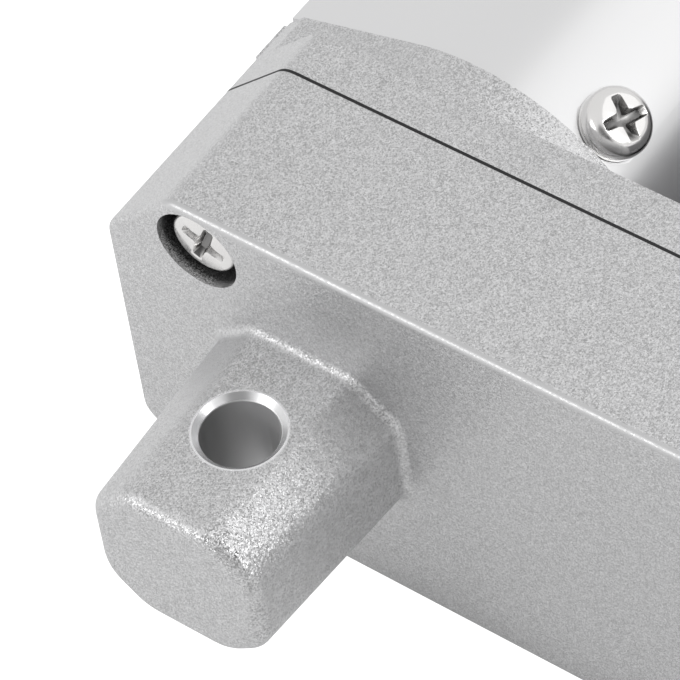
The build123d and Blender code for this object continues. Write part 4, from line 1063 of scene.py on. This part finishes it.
class ActuatorDriveSizes(bpy.types.PropertyGroup):
    """Sizes of the lead screw and the armature's coils."""

    lead_radius: bpy.props.FloatProperty(
        name="Lead screw radius",
        description="Outer radius of the lead screw's thread",
        subtype="DISTANCE",
        default=5.98 * MM,
    )
    lead: bpy.props.FloatProperty(
        name="Lead",
        description="How far the nut moves in one turn of the lead screw",
        subtype="DISTANCE",
        default=4.0 * MM,
    )
    lead_depth: bpy.props.FloatProperty(
        name="Lead thread depth",
        description="Depth of the lead screw's thread",
        subtype="DISTANCE",
        default=1.5 * MM,
    )
    journal_radius: bpy.props.FloatProperty(
        name="Journal radius",
        description="Radius of the lead screw's rear journal",
        subtype="DISTANCE",
        default=4.0 * MM,
    )
    shaft_radius: bpy.props.FloatProperty(
        name="Shaft radius",
        description="Radius of the lead screw's plain shaft",
        subtype="DISTANCE",
        default=5.0 * MM,
    )
    groove_depth: bpy.props.FloatProperty(
        name="Groove depth",
        description="Depth of the groove for the gear's retaining ring",
        subtype="DISTANCE",
        default=0.4 * MM,
    )
    key_width: bpy.props.FloatProperty(
        name="Key width",
        description="Width of the keyway under the output gear",
        subtype="DISTANCE",
        default=3.0 * MM,
    )
    key_sunk: bpy.props.FloatProperty(
        name="Key depth",
        description="Depth of the keyway",
        subtype="DISTANCE",
        default=1.8 * MM,
    )
    wire_radius: bpy.props.FloatProperty(
        name="Wire radius",
        description="Radius of the armature's copper wire",
        subtype="DISTANCE",
        default=0.24 * MM,
    )
    coil_turns: bpy.props.IntProperty(
        name="Coil turns",
        description="Turns of wire that one coil shows",
        default=10,
        min=2,
        max=16,
    )


class ActuatorStudio(bpy.types.PropertyGroup):
    """The floor and the room's light."""

    floor_colour: bpy.props.FloatVectorProperty(
        name="Floor",
        description="Colour of the floor",
        subtype="COLOR",
        **RGB,
        default=(0.5, 0.5, 0.5),
    )
    floor_glow: bpy.props.FloatProperty(
        name="Floor glow",
        description="Light that the floor gives off, as a lit table does",
        default=0.35,
        min=0.0,
    )
    sky: bpy.props.FloatProperty(
        name="Room light",
        description="Strength of the even light from all round",
        default=0.78,
        min=0.0,
    )


# Pieces


class ACTUATOR_OT_finishes(bpy.types.Operator):
    """Give every CAD node its finish"""

    bl_idname = "actuator.finishes"
    bl_label = "Finishes"

    def execute(self, context):
        made = all_finishes(context.scene.actuator_finishes)
        for name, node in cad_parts.items():
            for place in node.material_slots:
                slot = place.material.name.split(".")[0]
                place.material = made[NODE_FINISHES.get(name, SLOT_FINISHES[slot])]
        return {"FINISHED"}


class ACTUATOR_OT_screws(bpy.types.Operator):
    """Replace every group of screws by detailed ones"""

    bl_idname = "actuator.screws"
    bl_label = "Screws"

    def execute(self, context):
        size = context.scene.actuator_screws
        finish = bpy.data.materials["nickel_plate"]
        tree = seat_tree()
        for name, node, length, seats, rolls in SCREW_GROUPS:
            crown = size.sunk_round if node == "housing_screws" else size.crown_round
            screw = pan_screw(size, length * MM, crown)
            set_pieces(name, node, "housing", seats, rolls, screw, finish, tree)
        return {"FINISHED"}


class ACTUATOR_OT_lead_screw(bpy.types.Operator):
    """Replace the lead screw by one with its trapezoidal thread"""

    bl_idname = "actuator.lead_screw"
    bl_label = "Lead screw"

    def execute(self, context):
        size = context.scene.actuator_drive
        made = lead_screw_shaft(size)
        threaded = bmesh.new()
        ends = (THREAD_X * MM, THREAD_END_X * MM)
        form = {"sides": 40, "steps": 16, "flat": 0.22, "nose": THREAD_NOSE * MM}
        thread(threaded, size.lead_radius, size.lead, size.lead_depth, *ends, **form)
        along_x(threaded)
        threaded.from_mesh(made.data)
        threaded.to_mesh(made.data)
        threaded.free()
        made.name = "threaded_lead_screw"
        give_finish(made, bpy.data.materials["turned_steel"])
        shade_by_angle(made, 30)
        stand_for(made, "lead_screw", "screw")
        return {"FINISHED"}


class ACTUATOR_OT_windings(bpy.types.Operator):
    """Replace the armature's windings by wound wire"""

    bl_idname = "actuator.windings"
    bl_label = "Armature windings"

    def execute(self, context):
        middle = (CORE_X[0] + CORE_X[1]) / 2
        set_pieces(
            "wound_armature_coils",
            "armature_windings",
            "rotor",
            seats=[((middle, MOTOR_Y, 0.0), (1, 0, 0))] * COIL_COUNT,
            rolls=[90 + 360 / COIL_COUNT * n for n in range(COIL_COUNT)],
            piece=coil(context.scene.actuator_drive),
            finish=bpy.data.materials["enamel_copper"],
            tree=seat_tree(),
        )
        return {"FINISHED"}


class ACTUATOR_OT_stage(bpy.types.Operator):
    """Set up the floor, the lights and the camera"""

    bl_idname = "actuator.stage"
    bl_label = "Stage"

    def execute(self, context):
        studio = context.scene.actuator_studio
        make_floor(studio)
        make_lights()
        make_room(studio)
        make_camera()
        return {"FINISHED"}


def make_floor(studio):
    """A wide round floor under the lowest point of the object."""
    low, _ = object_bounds()
    mesh = bmesh.new()
    bmesh.ops.create_circle(mesh, cap_ends=True, segments=96, radius=FLOOR_RADIUS)
    middle = (FLOOR_MIDDLE_X, 0, low.z - FLOOR_GAP)
    bmesh.ops.translate(mesh, verts=mesh.verts, vec=middle)
    floor = from_bmesh("studio_floor", mesh)
    give_finish(floor, floor_paper(studio))
    floor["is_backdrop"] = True


def make_lights():
    """The soft boxes round the object, which the camera doesn't see."""
    for name, (place, width, height, power, target) in SOFT_BOXES.items():
        light = bpy.data.lights.new(name, "AREA")
        light.shape = "RECTANGLE"
        light.size = width
        light.size_y = height
        light.energy = power
        lamp = show(name, light)
        lamp.location = place
        lamp.visible_camera = False
        aim = Vector(target) - Vector(place)
        lamp.rotation_euler = aim.to_track_quat("-Z", "Y").to_euler()


def make_room(studio):
    """Even light from all round, with one dark spot."""
    world = bpy.data.worlds.new("room")
    world.use_nodes = True
    room = ShaderNodes(world.node_tree, "Generated")
    dark = room.along(room.place, DARK_DIRECTION).fade(*DARK_EDGE)
    strength = studio.sky * (1.0 - 0.9 * dark)
    background = world.node_tree.nodes["Background"]
    background.inputs["Color"].default_value = (1, 1, 1, 1)
    world.node_tree.links.new(strength.socket, background.inputs["Strength"])
    bpy.context.scene.world = world


def make_camera():
    """A long lens over the rear mounting tongue."""
    data = bpy.data.cameras.new("camera")
    data.sensor_width = SENSOR_WIDTH
    data.lens = FOCAL_PIXELS * SENSOR_WIDTH / PICTURE_PIXELS
    data.clip_start = 0.01
    data.clip_end = 20.0
    camera = show("camera", data)
    right = Vector(CAMERA_RIGHT)
    back = Vector(CAMERA_BACK).normalized()
    right = (right - back * right.dot(back)).normalized()
    turn = Matrix((right, back.cross(right), back)).transposed().to_4x4()
    camera.matrix_world = Matrix.Translation(Vector(CAMERA_PLACE) * MM) @ turn
    bpy.context.scene.camera = camera
    bpy.context.scene.view_settings.view_transform = "Standard"


class ACTUATOR_PT_pieces(bpy.types.Panel):
    """The pieces and their sizes"""

    bl_label = "Linear Actuator"
    bl_idname = "ACTUATOR_PT_pieces"
    bl_space_type = "VIEW_3D"
    bl_region_type = "UI"
    bl_category = "Actuator"

    def draw(self, context):
        for name, (_, operators) in GROUPS.items():
            box = self.layout.box()
            settings = getattr(context.scene, name)
            for setting in settings.bl_rna.properties.keys():
                if setting not in ("rna_type", "name"):
                    box.prop(settings, setting)
            for operator in operators:
                box.operator(operator.bl_idname)


# Each group of settings by its name on the scene, with the operators that use it.
GROUPS = {
    "actuator_finishes": (ActuatorFinishes, [ACTUATOR_OT_finishes]),
    "actuator_screws": (ActuatorScrewSizes, [ACTUATOR_OT_screws]),
    "actuator_drive": (ActuatorDriveSizes, [ACTUATOR_OT_lead_screw, ACTUATOR_OT_windings]),
    "actuator_studio": (ActuatorStudio, [ACTUATOR_OT_stage]),
}


def register():
    for name, (group, operators) in GROUPS.items():
        bpy.utils.register_class(group)
        setattr(bpy.types.Scene, name, bpy.props.PointerProperty(type=group))
        for operator in operators:
            bpy.utils.register_class(operator)
    bpy.utils.register_class(ACTUATOR_PT_pieces)


def unregister():
    bpy.utils.unregister_class(ACTUATOR_PT_pieces)
    for name, (group, operators) in GROUPS.items():
        for operator in operators:
            bpy.utils.unregister_class(operator)
        delattr(bpy.types.Scene, name)
        bpy.utils.unregister_class(group)


def main():
    """Dresses the frame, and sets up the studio."""
    register()
    bpy.ops.actuator.finishes()
    bpy.ops.actuator.screws()
    bpy.ops.actuator.lead_screw()
    bpy.ops.actuator.windings()
    bpy.ops.actuator.stage()


if __name__ == "__main__":
    main()
